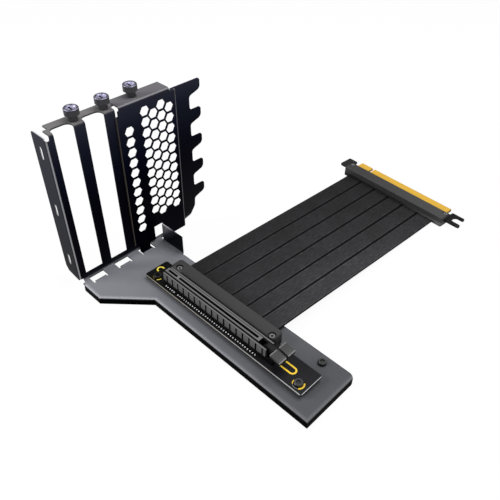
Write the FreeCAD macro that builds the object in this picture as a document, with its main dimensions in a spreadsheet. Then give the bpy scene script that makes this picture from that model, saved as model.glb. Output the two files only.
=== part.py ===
import FreeCAD, Part
import math
import os
import Sketcher
from FreeCAD import Placement, Rotation, Vector

os.makedirs("parts", exist_ok=True)
doc = FreeCAD.newDocument("vertical_gpu_bracket")

# Driving dimensions in millimetres.
# X runs along the card from the slot wall, Y across the slots, Z up from the base sheet's top.
dimensions = {
    "sheet_thick": 1.0,
    "bend_inside": 0.8,
    "slot_pitch": 20.32,
    "slot_count": 3,
    "frame_height": 109.1,
    "frame_edge": 91.0,
    "flange_depth": 12.5,
    "flange_front_start": 2.8,
    "flange_rear_start": 5.9,
    "flange_step": 6.8,
    "flange_end": 86.5,
    "side_depth": 15.8,
    "side_top": 107.0,
    "side_slot_long": 9.0,
    "side_slot_wide": 3.4,
    "side_slot_inset": 9.0,
    "side_slot_first": 15.3,
    "side_slot_pitch": 40.0,
    "corner_relief": 1.0,
    "window_first": 5.4,
    "window_wide": 13.2,
    "window_bottom": 4.6,
    "window_scallop": 6.0,
    "window_round": 3.5,
    "vent_window_start": 62.9,
    "vent_window_end": 88.6,
    "vent_window_bottom": 17.0,
    "vent_window_top": 105.0,
    "joggle_window_end": 95.0,
    "joggle_window_bottom": 12.0,
    "joggle_window_top": 101.0,
    "tail_slot_first": 6.3,
    "tail_slot_wide": 11.5,
    "tail_slot_depth": 5.3,
    "tail_ear_depth": 6.8,
    "tail_ear_wide": 1.5,
    "square_hole_start": 63.1,
    "square_hole_wide": 8.5,
    "square_hole_bottom": 1.4,
    "square_hole_top": 12.5,
    "joggle_back": 3.6,
    "finger_top": 106.2,
    "finger_reach": 115.6,
    "finger_root": 106.0,
    "finger_tip_tall": 7.2,
    "finger_root_tall": 10.2,
    "finger_round": 1.6,
    "finger_under_round": 3.4,
    "finger_notch_round": 2.4,
    "finger_count": 5,
    "base_length": 176.0,
    "base_width": 68.0,
    "shoulder_length": 21.0,
    "waist_start": 47.5,
    "waist_inset": 24.65,
    "base_corner": 4.5,
    "rim_depth": 5.0,
    "rim_start": 4.0,
    "bend_relief": 0.5,
    "tab_start": 4.7,
    "tab_end": 26.0,
    "tab_height": 15.0,
    "vent_edge": 45.3,
    "vent_corner_step": 2.0,
    "vent_corner_drop": 5.1,
    "vent_flange_start": 48.3,
    "vent_flange_depth": 10.8,
    "vent_lip": 1.1,
    "vent_foot": 1.3,
    "tongue_start": 49.2,
    "tongue_wide": 8.6,
    "tongue_drop": 2.8,
    "tongue_foot": 4.9,
    "hole_across": 6.4,
    "hole_pitch": 7.47,
    "hole_rows": 11,
    "column_pitch": 6.33,
    "column_first": 53.8,
    "column_second": 66.4,
    "column_first_top": 91.75,
    "column_second_top": 101.1,
    "column_count": 4,
    "thumb_first": 21.8,
    "thumb_inset": 5.8,
    "thumb_head": 8.9,
    "thumb_head_tall": 5.3,
    "thumb_collar": 5.8,
    "thumb_collar_tall": 2.8,
    "thumb_thread": 3.5,
    "thumb_thread_long": 2.5,
    "thumb_dish": 1.0,
    "thumb_cone": 1.0,
    "thumb_slot": 1.2,
    "thread_fit": 0.05,
    "board_start": 27.5,
    "board_end": 163.9,
    "board_front": 33.0,
    "board_back": 51.7,
    "board_thick": 1.6,
    "board_lift": 2.4,
    "board_corner": 1.5,
    "board_screw_near": 35.5,
    "board_screw_near_side": 37.6,
    "board_screw_far": 157.8,
    "board_screw_far_side": 38.1,
    "board_screw_head": 5.6,
    "board_screw_head_tall": 1.9,
    "screw_thread": 3.0,
    "screw_hole_gap": 0.1,
    "screw_tail": 2.5,
    "spacer_wide": 6.0,
    "socket_start": 43.5,
    "socket_end": 134.0,
    "socket_toe": 139.0,
    "socket_middle": 40.15,
    "socket_wide": 7.5,
    "socket_foot": 6.5,
    "socket_foot_tall": 3.8,
    "socket_tall": 10.4,
    "socket_shoulder_drop": 0.8,
    "socket_groove_drop": 1.4,
    "socket_ridge_wide": 3.7,
    "socket_groove_wide": 5.3,
    "card_slot_wide": 1.8,
    "card_slot_start": 45.0,
    "card_key_start": 53.6,
    "card_key_end": 55.5,
    "card_slot_end": 125.0,
    "cavity_wide": 3.4,
    "cavity_tall": 8.6,
    "side_slit_first": 47.3,
    "side_slit_pitch": 5.27,
    "side_slit_wide": 0.9,
    "side_slit_depth": 0.6,
    "side_slits": 17,
    "pocket_start": 127.0,
    "pocket_wide": 3.7,
    "contact_pitch": 2.0,
    "contact_wide": 0.6,
    "contact_thick": 0.4,
    "contact_tall": 8.0,
    "contact_gap": 1.0,
    "contact_first": 46.0,
    "contact_second": 56.4,
    "contacts_short": 4,
    "contacts_long": 34,
    "latch_wide": 3.1,
    "latch_hinge": 131.2,
    "latch_hinge_height": 3.2,
    "latch_pin": 1.8,
    "latch_pin_gap": 0.08,
    "latch_pin_long": 6.6,
    "latch_paddle_start": 139.7,
    "latch_paddle_end": 147.2,
    "latch_paddle_span": 13.2,
    "latch_paddle_gap": 1.9,
    "latch_paddle_drop": 1.2,
    "latch_paddle_height": 13.0,
    "latch_paddle_thick": 1.8,
    "clamp_start": 36.7,
    "clamp_end": 129.5,
    "clamp_front": 48.2,
    "clamp_back": 57.4,
    "clamp_tall": 4.6,
    "clamp_corner": 2.2,
    "clamp_edge": 0.6,
    "clamp_side_gap": 0.3,
    "clamp_screw_first": 42.6,
    "clamp_screw_span": 83.7,
    "clamp_screw_inset": 2.6,
    "clamp_screw_thread": 2.0,
    "clamp_screw_head": 4.0,
    "clamp_screw_head_tall": 1.4,
    "clamp_screw_sink": 2.0,
    "clamp_screw_tail": 1.0,
    "counterbore_gap": 0.25,
    "ribbon_strips": 6,
    "ribbon_thick": 1.0,
    "ribbon_strip_wide": 13.35,
    "ribbon_strip_pitch": 13.67,
    "ribbon_far_pitch": 13.94,
    "ribbon_first": 41.45,
    "ribbon_drift": 3.4,
    "ribbon_grip": 3.9,
    "ribbon_clamp_low": 2.0,
    "ribbon_level_run": 8.0,
    "ribbon_entry_run": 12.0,
    "ribbon_side_gap": 0.9,
    "ribbon_entry": 3.0,
    "plug_away": 88.7,
    "plug_across": 239.1,
    "plug_turn": 3.9,
    "plug_long": 97.0,
    "plug_deep": 9.8,
    "plug_tall": 8.0,
    "plug_ribbon_low": 0.65,
    "plug_ribbon_slot_deep": 5.0,
    "plug_board_low": 3.4,
    "plug_board_back": 3.2,
    "plug_board_gap": 0.1,
    "plug_corner": 1.2,
    "card_edge_long": 89.5,
    "card_edge_reach": 14.6,
    "card_edge_short": 11.65,
    "card_edge_key": 1.9,
    "card_edge_key_deep": 7.0,
    "ear_left_reach": 57.2,
    "ear_left_deep": 12.5,
    "fork_reach": 59.6,
    "fork_notch_floor": 8.2,
    "fork_hook_start": 47.7,
    "fork_back": 1.0,
    "fork_prong_front": 11.3,
    "fork_slot_wide": 6.8,
    "fork_slot_middle": 5.4,
    "fork_slot_root": 51.8,
    "plug_screw_span": 92.4,
    "plug_screw_inset": 2.1,
    "plug_screw_head": 3.4,
    "plug_screw_sink": 1.4,
    "plug_screw_head_tall": 1.1,
    "plug_screw_thread": 1.6,
    "base_screw_away": 156.5,
    "base_screw_across": 61.2,
    "base_screw_head": 5.3,
    "base_screw_head_tall": 2.2,
}

sheet = doc.addObject("Spreadsheet::Sheet", "Sizes")
for row, (alias, number) in enumerate(dimensions.items(), start=1):
    sheet.set("A%d" % row, alias)
    sheet.set("B%d" % row, str(number))
    sheet.setAlias("B%d" % row, alias)
doc.recompute()


# A length that keeps both its spreadsheet expression and its present value.
class Size:
    def __init__(self, text, number):
        self.text = text
        self.number = number

    def __add__(self, other):
        other = as_size(other)
        return Size("(%s + %s)" % (self.text, other.text), self.number + other.number)

    def __sub__(self, other):
        other = as_size(other)
        return Size("(%s - %s)" % (self.text, other.text), self.number - other.number)

    def __mul__(self, other):
        other = as_size(other)
        return Size("(%s * %s)" % (self.text, other.text), self.number * other.number)

    def __truediv__(self, other):
        other = as_size(other)
        return Size("(%s / %s)" % (self.text, other.text), self.number / other.number)

    def __radd__(self, other):
        return as_size(other) + self

    def __rsub__(self, other):
        return as_size(other) - self

    def __rmul__(self, other):
        return as_size(other) * self

    def __neg__(self):
        return as_size(0) - self


def as_size(item):
    if isinstance(item, Size):
        return item
    return Size(repr(float(item)), float(item))


class Sizes:
    pass


s = Sizes()
for alias in dimensions:
    setattr(s, alias, Size("Sizes.%s" % alias, float(sheet.get(alias))))


# Bodies, sketches and the features made from them.
parts = {}


def new_body(label):
    body = doc.addObject("PartDesign::Body", label)
    body.Label = label
    parts[label] = body
    return body


def place(item, away, across, lift):
    for axis, size in (("x", away), ("y", across), ("z", lift)):
        item.setExpression("Placement.Base.%s" % axis, as_size(size).text)


def origin_feature(body, role):
    for feature in body.Origin.OriginFeatures:
        if feature.Role == role:
            return feature


def new_sketch(body, name, plane, level, away=0, up=0):
    sketch = body.newObject("Sketcher::SketchObject", name)
    sketch.AttachmentSupport = (origin_feature(body, plane + "_Plane"), [""])
    sketch.MapMode = "FlatFace"
    height = -as_size(level) if plane == "XZ" else as_size(level)
    sketch.setExpression("AttachmentOffset.Base.z", height.text)
    if isinstance(away, Size):
        sketch.setExpression("AttachmentOffset.Base.x", away.text)
    if isinstance(up, Size):
        sketch.setExpression("AttachmentOffset.Base.y", up.text)
    return sketch


# Closed outlines of straight lines, with a tangent arc at each corner that names a radius.
def draw_loops(sketch, loops):
    geometry = []
    constraints = []
    bound = []

    def fix(kind, item, position, size):
        bound.append((len(constraints), size.text))
        constraints.append(Sketcher.Constraint(kind, -1, 1, item, position, size.number))

    for loop in loops:
        corners = [[as_size(value) for value in corner] for corner in loop]
        at = [Vector(corner[0].number, corner[1].number, 0) for corner in corners]
        count = len(at)
        leave = []
        arrive = []
        arcs = []
        for index in range(count):
            here = at[index]
            back = (at[index - 1] - here).normalize()
            ahead = (at[(index + 1) % count] - here).normalize()
            if len(corners[index]) < 3:
                leave.append(here)
                arrive.append(here)
                arcs.append(None)
                continue
            radius = corners[index][2].number
            half = back.getAngle(ahead) / 2
            run = radius / math.tan(half)
            start = here + back * run
            end = here + ahead * run
            centre = here + (back + ahead).normalize() * (radius / math.sin(half))
            leftward = (-back).cross(ahead).z > 0
            first, last = (start, end) if leftward else (end, start)
            low = math.atan2(first.y - centre.y, first.x - centre.x)
            high = math.atan2(last.y - centre.y, last.x - centre.x)
            if high < low:
                high += 2 * math.pi
            arrive.append(start)
            leave.append(end)
            circle = Part.Circle(centre, Vector(0, 0, 1), radius)
            arcs.append((Part.ArcOfCircle(circle, low, high), leftward))
        base = len(geometry)
        for index in range(count):
            geometry.append(Part.LineSegment(leave[index], arrive[(index + 1) % count]))
        for index in range(count):
            line = base + index
            before = base + (index - 1) % count
            if arcs[index] is None:
                constraints.append(Sketcher.Constraint("Coincident", before, 2, line, 1))
                fix("DistanceX", line, 1, corners[index][0])
                fix("DistanceY", line, 1, corners[index][1])
                continue
            arc, leftward = arcs[index]
            arc_item = len(geometry)
            geometry.append(arc)
            point_item = len(geometry)
            geometry.append(Part.Point(at[index]))
            entry, exit_end = (1, 2) if leftward else (2, 1)
            constraints.append(Sketcher.Constraint("Tangent", before, 2, arc_item, entry))
            constraints.append(Sketcher.Constraint("Tangent", arc_item, exit_end, line, 1))
            constraints.append(Sketcher.Constraint("PointOnObject", point_item, 1, before))
            constraints.append(Sketcher.Constraint("PointOnObject", point_item, 1, line))
            fix("DistanceX", point_item, 1, corners[index][0])
            fix("DistanceY", point_item, 1, corners[index][1])
            bound.append((len(constraints), corners[index][2].text))
            constraints.append(Sketcher.Constraint("Radius", arc_item, corners[index][2].number))
    sketch.addGeometry(geometry, False)
    for item, shape in enumerate(geometry):
        if isinstance(shape, Part.Point):
            sketch.setConstruction(item, True)
    sketch.addConstraint(constraints)
    for index, text in bound:
        sketch.setExpression("Constraints[%d]" % index, text)


def draw_circles(sketch, circles):
    for item, (away, across, radius) in enumerate(circles):
        away, across, radius = as_size(away), as_size(across), as_size(radius)
        centre = Vector(away.number, across.number, 0)
        sketch.addGeometry(Part.Circle(centre, Vector(0, 0, 1), radius.number), False)
        for kind, size in (("DistanceX", away), ("DistanceY", across)):
            index = sketch.addConstraint(
                Sketcher.Constraint(kind, -1, 1, item, 3, size.number))
            sketch.setExpression("Constraints[%d]" % index, size.text)
        index = sketch.addConstraint(Sketcher.Constraint("Radius", item, radius.number))
        sketch.setExpression("Constraints[%d]" % index, radius.text)


def extrude(body, kind, name, plane, low, high, loops=None, circles=None):
    low, high = as_size(low), as_size(high)
    starts_low = (kind == "PartDesign::Pad") != (plane == "XZ")
    sketch = new_sketch(body, name + "_sketch", plane, low if starts_low else high)
    if loops:
        draw_loops(sketch, loops)
    else:
        draw_circles(sketch, circles)
    feature = body.newObject(kind, name)
    feature.Profile = sketch
    feature.Length = (high - low).number
    feature.setExpression("Length", (high - low).text)
    sketch.Visibility = False
    body.Tip = feature
    return feature


def pad(body, name, plane, low, high, *loops):
    return extrude(body, "PartDesign::Pad", name, plane, low, high, loops)


def cut(body, name, plane, low, high, *loops):
    return extrude(body, "PartDesign::Pocket", name, plane, low, high, loops)


def pad_round(body, name, plane, low, high, *circles):
    return extrude(body, "PartDesign::Pad", name, plane, low, high, circles=circles)


def cut_round(body, name, plane, low, high, *circles):
    return extrude(body, "PartDesign::Pocket", name, plane, low, high, circles=circles)


def spin(body, name, away, across, loop):
    sketch = new_sketch(body, name + "_sketch", "XZ", across, away=as_size(away))
    draw_loops(sketch, [loop])
    feature = body.newObject("PartDesign::Revolution", name)
    feature.Profile = sketch
    feature.ReferenceAxis = (sketch, ["V_Axis"])
    feature.Angle = 360
    body.Tip = feature
    return feature


def repeat(body, name, originals, axis, step, count, backwards=False):
    pattern = body.newObject("PartDesign::LinearPattern", name)
    pattern.Originals = originals
    pattern.Direction = (origin_feature(body, axis + "_Axis"), [""])
    pattern.Reversed = backwards
    count = as_size(count)
    pattern.setExpression("Length", (as_size(step) * (count - 1)).text)
    pattern.setExpression("Occurrences", count.text)
    body.Tip = pattern
    return pattern


def ease_edges(body, kind, setting, name, size, wanted):
    doc.recompute()
    base = body.Tip
    names = []
    for index, edge in enumerate(base.Shape.Edges, start=1):
        if wanted(edge):
            names.append("Edge%d" % index)
    feature = body.newObject(kind, name)
    feature.Base = (base, names)
    setattr(feature, setting, as_size(size).number)
    feature.setExpression(setting, as_size(size).text)
    body.Tip = feature
    return feature


def round_edges(body, name, radius, wanted):
    return ease_edges(body, "PartDesign::Fillet", "Radius", name, radius, wanted)


def slant_edges(body, name, size, wanted):
    return ease_edges(body, "PartDesign::Chamfer", "Size", name, size, wanted)


def box_loop(low_a, low_b, high_a, high_b, radius=None):
    loop = [(low_a, low_b), (high_a, low_b), (high_a, high_b), (low_a, high_b)]
    if radius is None:
        return loop
    return [corner + (radius,) for corner in loop]


t = s.sheet_thick
bend = s.bend_inside + t
centre_away = (s.base_length - s.side_depth) / 2
centre_across = s.finger_reach / 2
top = s.frame_height


def seat(body):
    place(body, -centre_away, -centre_across, s.rim_depth)


# Slot frame: wall, top flange, side flange, finger flange, base sheet with rims and the tab.
frame = new_body("slot_frame")
pad(frame, "wall", "XZ", s.flange_front_start, s.base_width, [
    (-s.flange_depth, top), (0, top, bend), (0, 0, s.bend_inside), (bend + t, 0),
    (bend + t, -t), (-t, -t, bend), (-t, top - t, s.bend_inside), (-s.flange_depth, top - t)])
pad(frame, "wall_end", "XZ", s.base_width, s.frame_edge - bend, [
    (-s.flange_depth, top), (0, top, bend), (0, -t * 1.5), (-t, -t * 1.5),
    (-t, top - t, s.bend_inside), (-s.flange_depth, top - t)])
cut(frame, "flange_far_end", "XY", top - bend - t, top + t,
    box_loop(-s.flange_depth - t, s.flange_end, -t, s.frame_edge + t))
cut(frame, "flange_far_corner", "YZ", -t * 3, t,
    box_loop(s.flange_end, top - bend, s.frame_edge + t, top + t))
cut(frame, "flange_near_step", "XY", top - bend - t, top + t,
    box_loop(-s.flange_depth - t, -t, -s.flange_step, s.flange_rear_start))
pad(frame, "joggle", "XY", -t * 1.5, top - bend, [
    (0, s.frame_edge - bend * 2), (0, s.frame_edge, bend),
    (-s.joggle_back, s.frame_edge, s.bend_inside), (-s.joggle_back, s.frame_edge + bend * 2),
    (-s.joggle_back - t, s.frame_edge + bend * 2), (-s.joggle_back - t, s.frame_edge - t, bend),
    (-t, s.frame_edge - t, s.bend_inside), (-t, s.frame_edge - bend * 2)])
finger_outline = [(s.frame_edge + bend, s.finger_top)]
for number in range(int(s.finger_count.number)):
    crown = s.finger_top - s.slot_pitch * number
    if number:
        finger_outline.append((s.finger_root, crown, s.finger_notch_round))
    finger_outline.append((s.finger_reach, crown, s.finger_round))
    finger_outline.append((s.finger_reach, crown - s.finger_tip_tall, s.finger_under_round))
    finger_outline.append((s.finger_root, crown - s.finger_root_tall, s.finger_notch_round))
finger_outline.append((s.finger_root - t / 2, s.rim_depth + t * 3, s.finger_under_round))
finger_outline.append((s.finger_root - s.rim_depth, t * 1.6, s.finger_under_round))
finger_outline.append((s.frame_edge + bend, -t * 0.6))
pad(frame, "fingers", "YZ", -s.joggle_back - t, -s.joggle_back, finger_outline)
cut(frame, "joggle_top", "YZ", -s.joggle_back - t * 2, -t,
    box_loop(s.frame_edge - bend, s.finger_top, s.frame_edge + bend * 3, top + t))
cut(frame, "joggle_foot", "YZ", -s.joggle_back - t * 2, -t * 1.2, [
    (s.frame_edge - bend, -t * 3), (s.frame_edge + bend * 3, -t * 3),
    (s.frame_edge + bend * 3, -t * 0.6), (s.frame_edge - bend, -t * 0.6)])

pad(frame, "side_bend", "XY", bend, s.side_top - s.corner_relief, [
    (-bend * 1.5, 0), (0, 0, bend), (0, bend * 2), (-t, bend * 2),
    (-t, t, s.bend_inside), (-bend * 1.5, t)])
pad(frame, "side_flange", "XZ", 0, t, [
    (-bend, t * 0.5), (-bend, s.side_top - t), (-bend - t * 1.5, s.side_top, t),
    (-s.side_depth, s.side_top, s.finger_round),
    (-s.side_depth, s.rim_depth + t, s.bend_inside),
    (-s.side_depth + s.rim_depth * 0.45, t * 2.3, s.bend_inside)])
slot = cut(frame, "side_slot", "XZ", -t, t * 2, box_loop(
    -s.side_slot_inset - s.side_slot_wide / 2, s.side_slot_first - s.side_slot_long / 2,
    -s.side_slot_inset + s.side_slot_wide / 2, s.side_slot_first + s.side_slot_long / 2,
    s.side_slot_wide * 0.49))
repeat(frame, "side_slots", [slot], "Z", s.side_slot_pitch, 3)

waist_shift = Size(
    "(%s * tan(atan2(%s; %s) / 2))" % (
        t.text, s.waist_inset.text, (s.waist_start - s.shoulder_length).text),
    t.number * math.tan(math.atan2(
        s.waist_inset.number, s.waist_start.number - s.shoulder_length.number) / 2))
inner = s.bend_inside
relief = s.bend_relief
pad(frame, "base_sheet", "XY", -t, 0, [
    (bend, relief), (s.rim_start, relief), (s.rim_start, 0), (s.shoulder_length, 0),
    (s.waist_start, s.waist_inset), (s.base_length, s.waist_inset),
    (s.base_length, s.base_width, s.base_corner), (s.tab_end + relief, s.base_width),
    (s.tab_end + relief, s.base_width - bend), (s.tab_start - relief, s.base_width - bend),
    (s.tab_start - relief, s.base_width), (bend, s.base_width)])
pad(frame, "rims", "XY", -s.rim_depth, 0, [
    (s.rim_start, 0), (s.shoulder_length, 0), (s.waist_start, s.waist_inset),
    (s.base_length, s.waist_inset), (s.base_length, s.base_width, s.base_corner),
    (s.tab_end + relief, s.base_width), (s.tab_end + relief, s.base_width - t),
    (s.base_length - t, s.base_width - t, s.base_corner - t),
    (s.base_length - t, s.waist_inset + t), (s.waist_start - waist_shift, s.waist_inset + t),
    (s.shoulder_length - waist_shift, t), (s.rim_start, t)])


def on_rim(edge):
    box = edge.BoundBox
    if abs(box.ZMin) > 0.01 or abs(box.ZMax) > 0.01 or box.DiagonalLength < 3:
        return False
    if box.XMax > s.base_length.number - 0.01 and box.XMin > s.waist_start.number:
        return True
    if box.YMin > s.base_width.number - 0.01 and box.XMin > s.tab_end.number:
        return True
    if box.YMax < s.waist_inset.number + 0.01 and box.XMin > s.rim_start.number - 0.01:
        slope = box.YLength / max(box.XLength, 0.001)
        low = box.YMin < 0.01
        along = abs(box.YMin - s.waist_inset.number) < 0.01
        return (low and box.YLength < 0.01) or along or (low and slope > 0.5)
    return False


round_edges(frame, "rim_bends", bend, on_rim)
pad(frame, "tab", "YZ", s.tab_start, s.tab_end, [
    (s.base_width - bend * 2, -t), (s.base_width, -t, bend), (s.base_width, s.tab_height),
    (s.base_width - t, s.tab_height), (s.base_width - t, 0, inner),
    (s.base_width - bend * 2, 0)])

window_loop = box_loop(s.window_first, s.window_bottom, s.window_first + s.window_wide,
                       top - bend * 2)
window = cut(frame, "window", "YZ", -t * 2, t, window_loop)
scallop = cut(frame, "scallop", "XY", top - bend * 2 - t, top + t, [
    (t, s.window_first), (t, s.window_first + s.window_wide),
    (-s.window_scallop, s.window_first + s.window_wide, s.window_round),
    (-s.window_scallop, s.window_first, s.window_round)])
repeat(frame, "windows", [window, scallop], "Y", s.slot_pitch, s.slot_count)
cut(frame, "vent_window", "YZ", -t * 2, t, box_loop(
    s.vent_window_start, s.vent_window_bottom, s.vent_window_end, s.vent_window_top,
    s.window_round / 2))
cut(frame, "joggle_window", "YZ", -s.joggle_back - t * 2, t, box_loop(
    s.vent_window_end - t, s.joggle_window_bottom, s.joggle_window_end, s.joggle_window_top))
cut(frame, "square_hole", "YZ", -t * 2, t, box_loop(
    s.square_hole_start, s.square_hole_bottom, s.square_hole_start + s.square_hole_wide,
    s.square_hole_top))
first = s.tail_slot_first
last = s.tail_slot_first + s.tail_slot_wide
tail = cut(frame, "tail_slot", "XY", -t * 2, inner + t * 0.1, [
    (0, first), (s.tail_ear_depth, first), (s.tail_ear_depth, first + s.tail_ear_wide),
    (s.tail_slot_depth, first + s.tail_ear_wide), (s.tail_slot_depth, last - s.tail_ear_wide),
    (s.tail_ear_depth, last - s.tail_ear_wide), (s.tail_ear_depth, last), (0, last)])
repeat(frame, "tail_slots", [tail], "Y", s.slot_pitch, s.slot_count)
cut_round(frame, "corner_relief", "YZ", -bend * 1.4, t,
          (bend, s.side_top - s.bend_inside, s.corner_relief))
screw_hole = cut_round(frame, "thumb_hole", "XY", top - t * 2, top + t, (
    -s.thumb_inset, s.thumb_first, s.thumb_thread / 2 + s.thread_fit))
repeat(frame, "thumb_holes", [screw_hole], "Y", s.slot_pitch, s.slot_count)
thread_radius = s.screw_thread / 2
clear_radius = thread_radius + s.screw_hole_gap
cut_round(frame, "base_holes", "XY", -t * 2, t,
          (s.board_screw_near, s.board_screw_near_side, thread_radius + s.thread_fit),
          (s.board_screw_far, s.board_screw_far_side, thread_radius + s.thread_fit),
          (s.base_screw_away, s.base_screw_across, thread_radius + s.thread_fit))
seat(frame)

# Vent panel: honeycomb cover hooked into the third tail slot and held by the third thumb screw.
vent = new_body("vent_panel")
vent_high = top - bend
tongue_end = s.tongue_start + s.tongue_wide
hole_end = s.square_hole_start + s.square_hole_wide
pad(vent, "cover", "YZ", 0, t, [
    (s.vent_edge, s.rim_depth), (s.tongue_start, s.rim_depth), (s.tongue_start, -s.tongue_drop),
    (tongue_end, -s.tongue_drop), (tongue_end, s.vent_foot), (s.square_hole_start, s.vent_foot),
    (s.square_hole_start, s.square_hole_top), (hole_end, s.square_hole_top),
    (hole_end, -t * 1.5), (s.frame_edge - bend, -t * 1.5), (s.frame_edge - bend, vent_high),
    (s.vent_edge + s.vent_corner_step, vent_high),
    (s.vent_edge + s.vent_corner_step, top - s.vent_corner_drop),
    (s.vent_edge, top - s.vent_corner_drop)])
pad(vent, "tongue_foot", "XY", -s.tongue_drop, -s.tongue_drop + t, box_loop(
    0, s.tongue_start, s.tongue_foot, tongue_end))
pad(vent, "cover_flange", "XZ", s.vent_flange_start, s.flange_end, [
    (-s.vent_flange_depth, top + t), (t, top + t, bend), (t, vent_high - t), (0, vent_high - t),
    (0, top, s.bend_inside), (-s.vent_flange_depth, top)])
pad(vent, "cover_lip", "XY", -t * 1.5, vent_high, [
    (t, s.frame_edge - bend * 2), (t, s.frame_edge + t, bend),
    (-s.vent_lip, s.frame_edge + t), (-s.vent_lip, s.frame_edge),
    (0, s.frame_edge, s.bend_inside), (0, s.frame_edge - bend * 2)])


def hexagon(across, up):
    half = s.hole_across / 2
    point = s.hole_across / math.sqrt(3)
    return [(across + point, up), (across + point / 2, up + half),
            (across - point / 2, up + half), (across - point, up),
            (across - point / 2, up - half), (across + point / 2, up - half)]


holes = [hexagon(s.column_first, s.column_first_top)]
for number in range(int(s.column_count.number)):
    holes.append(hexagon(s.column_second + s.column_pitch * number,
                         s.column_second_top - s.hole_pitch / 2 * (number % 2)))
hole = cut(vent, "hole", "YZ", -t, t * 2, *holes)
repeat(vent, "holes", [hole], "Z", s.hole_pitch, s.hole_rows, backwards=True)
cut_round(vent, "cover_screw_hole", "XY", top - t, top + t * 2, (
    -s.thumb_inset, s.thumb_first + s.slot_pitch * 2, s.thumb_thread / 2 + s.screw_hole_gap))
seat(vent)

# Thumb screws: the third stands on the vent panel's flange, one sheet higher.
thumbs = new_body("thumb_screws")


def thumb_loop(lift):
    collar_top = top + lift + s.thumb_collar_tall
    head_top = collar_top + s.thumb_head_tall
    edge = s.thumb_head / 2
    return [(0, top - s.thumb_thread_long), (s.thumb_thread / 2, top - s.thumb_thread_long),
            (s.thumb_thread / 2, top + lift), (s.thumb_collar / 2, top + lift),
            (s.thumb_collar / 2, collar_top), (edge, collar_top + s.thumb_cone),
            (edge, head_top - s.thumb_dish / 2), (edge - s.thumb_dish / 2, head_top),
            (edge - s.thumb_dish, head_top),
            (edge - s.thumb_dish * 2, head_top - s.thumb_dish),
            (0, head_top - s.thumb_dish)]


low_screw = spin(thumbs, "thumb", -s.thumb_inset, s.thumb_first, thumb_loop(as_size(0)))
repeat(thumbs, "thumb_pair", [low_screw], "Y", s.slot_pitch, 2)
spin(thumbs, "cover_thumb", -s.thumb_inset, s.thumb_first + s.slot_pitch * 2, thumb_loop(t))
for number in range(int(s.slot_count.number)):
    across = s.thumb_first + s.slot_pitch * number
    deck = top + s.thumb_collar_tall + s.thumb_head_tall - s.thumb_dish
    if number == 2:
        deck = deck + t
    half = s.thumb_slot / 2
    reach = s.thumb_head / 2 - s.thumb_dish * 1.5
    cut(thumbs, "driver_slot_%d" % number, "XY", deck - s.thumb_dish * 1.5, deck + t * 0.1,
        box_loop(-s.thumb_inset - reach, across - half, -s.thumb_inset + reach, across + half))
seat(thumbs)

# Riser board on two spacers, with its screws.
board = new_body("riser_board")
board_low = s.board_lift
board_high = s.board_lift + s.board_thick
clamp_screw_side = s.clamp_front + s.clamp_screw_inset
clamp_screw_last = s.clamp_screw_first + s.clamp_screw_span
clamp_clear = s.clamp_screw_thread / 2 + s.screw_hole_gap
pad(board, "board", "XY", board_low, board_high, box_loop(
    s.board_start, s.board_front, s.board_end, s.board_back, s.board_corner))
cut_round(board, "board_holes", "XY", board_low - t, board_high + t,
          (s.board_screw_near, s.board_screw_near_side, clear_radius),
          (s.board_screw_far, s.board_screw_far_side, clear_radius),
          (s.clamp_screw_first, clamp_screw_side, clamp_clear),
          (clamp_screw_last, clamp_screw_side, clamp_clear))
seat(board)

spacers = new_body("board_spacers")
for label, away, across in (
        ("near", s.board_screw_near, s.board_screw_near_side),
        ("far", s.board_screw_far, s.board_screw_far_side)):
    spin(spacers, "spacer_" + label, away, across, box_loop(
        clear_radius, 0, s.spacer_wide / 2, board_low))
seat(spacers)


def pan_screw(body, name, away, across, seat_level, head, head_tall, thread, tail_level):
    socket = thread / 2
    dome = head_tall / 4
    return spin(body, name, away, across, [
        (0, tail_level), (thread / 2, tail_level), (thread / 2, seat_level),
        (head / 2, seat_level), (head / 2, seat_level + head_tall - dome),
        (head / 2 - dome, seat_level + head_tall), (socket, seat_level + head_tall),
        (socket * 0.7, seat_level + head_tall / 2), (0, seat_level + head_tall / 2)])


board_screws = new_body("board_screws")
for label, away, across in (
        ("near", s.board_screw_near, s.board_screw_near_side),
        ("far", s.board_screw_far, s.board_screw_far_side)):
    pan_screw(board_screws, "board_screw_" + label, away, across, board_high,
              s.board_screw_head, s.board_screw_head_tall, s.screw_thread, -s.screw_tail)
seat(board_screws)

base_screw = new_body("base_screw")
pan_screw(base_screw, "base_screw_turned", s.base_screw_away, s.base_screw_across, as_size(0),
          s.base_screw_head, s.base_screw_head_tall, s.screw_thread, -s.screw_tail)
seat(base_screw)

# Card socket: moulded body with a keyed slot, contact cavities, side slits and latch pocket.
socket = new_body("socket_housing")
middle = s.socket_middle
socket_top = board_high + s.socket_tall
shoulder = socket_top - s.socket_shoulder_drop
groove = socket_top - s.socket_groove_drop
foot_top = board_high + s.socket_foot_tall
half_wide = s.socket_wide / 2
right_side = [
    (half_wide, shoulder), (s.socket_groove_wide / 2, shoulder), (s.socket_groove_wide / 2, groove),
    (s.socket_ridge_wide / 2, groove), (s.socket_ridge_wide / 2, socket_top)]
section = [(middle + s.socket_foot / 2, board_high), (middle + s.socket_foot / 2, foot_top - t / 2),
           (middle + half_wide, foot_top)]
section += [(middle + side, level) for side, level in right_side]
section += [(middle - side, level) for side, level in reversed(right_side)]
section += [(middle - half_wide, foot_top), (middle - s.socket_foot / 2, foot_top - t / 2),
            (middle - s.socket_foot / 2, board_high)]
pad(socket, "socket_bar", "YZ", s.socket_start, s.socket_end, section)
pad(socket, "socket_toe_bar", "YZ", s.socket_end, s.socket_toe, box_loop(
    middle - s.socket_foot / 2, board_high, middle + s.socket_foot / 2, foot_top - t / 2))
mouth = s.card_slot_wide / 2
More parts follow.
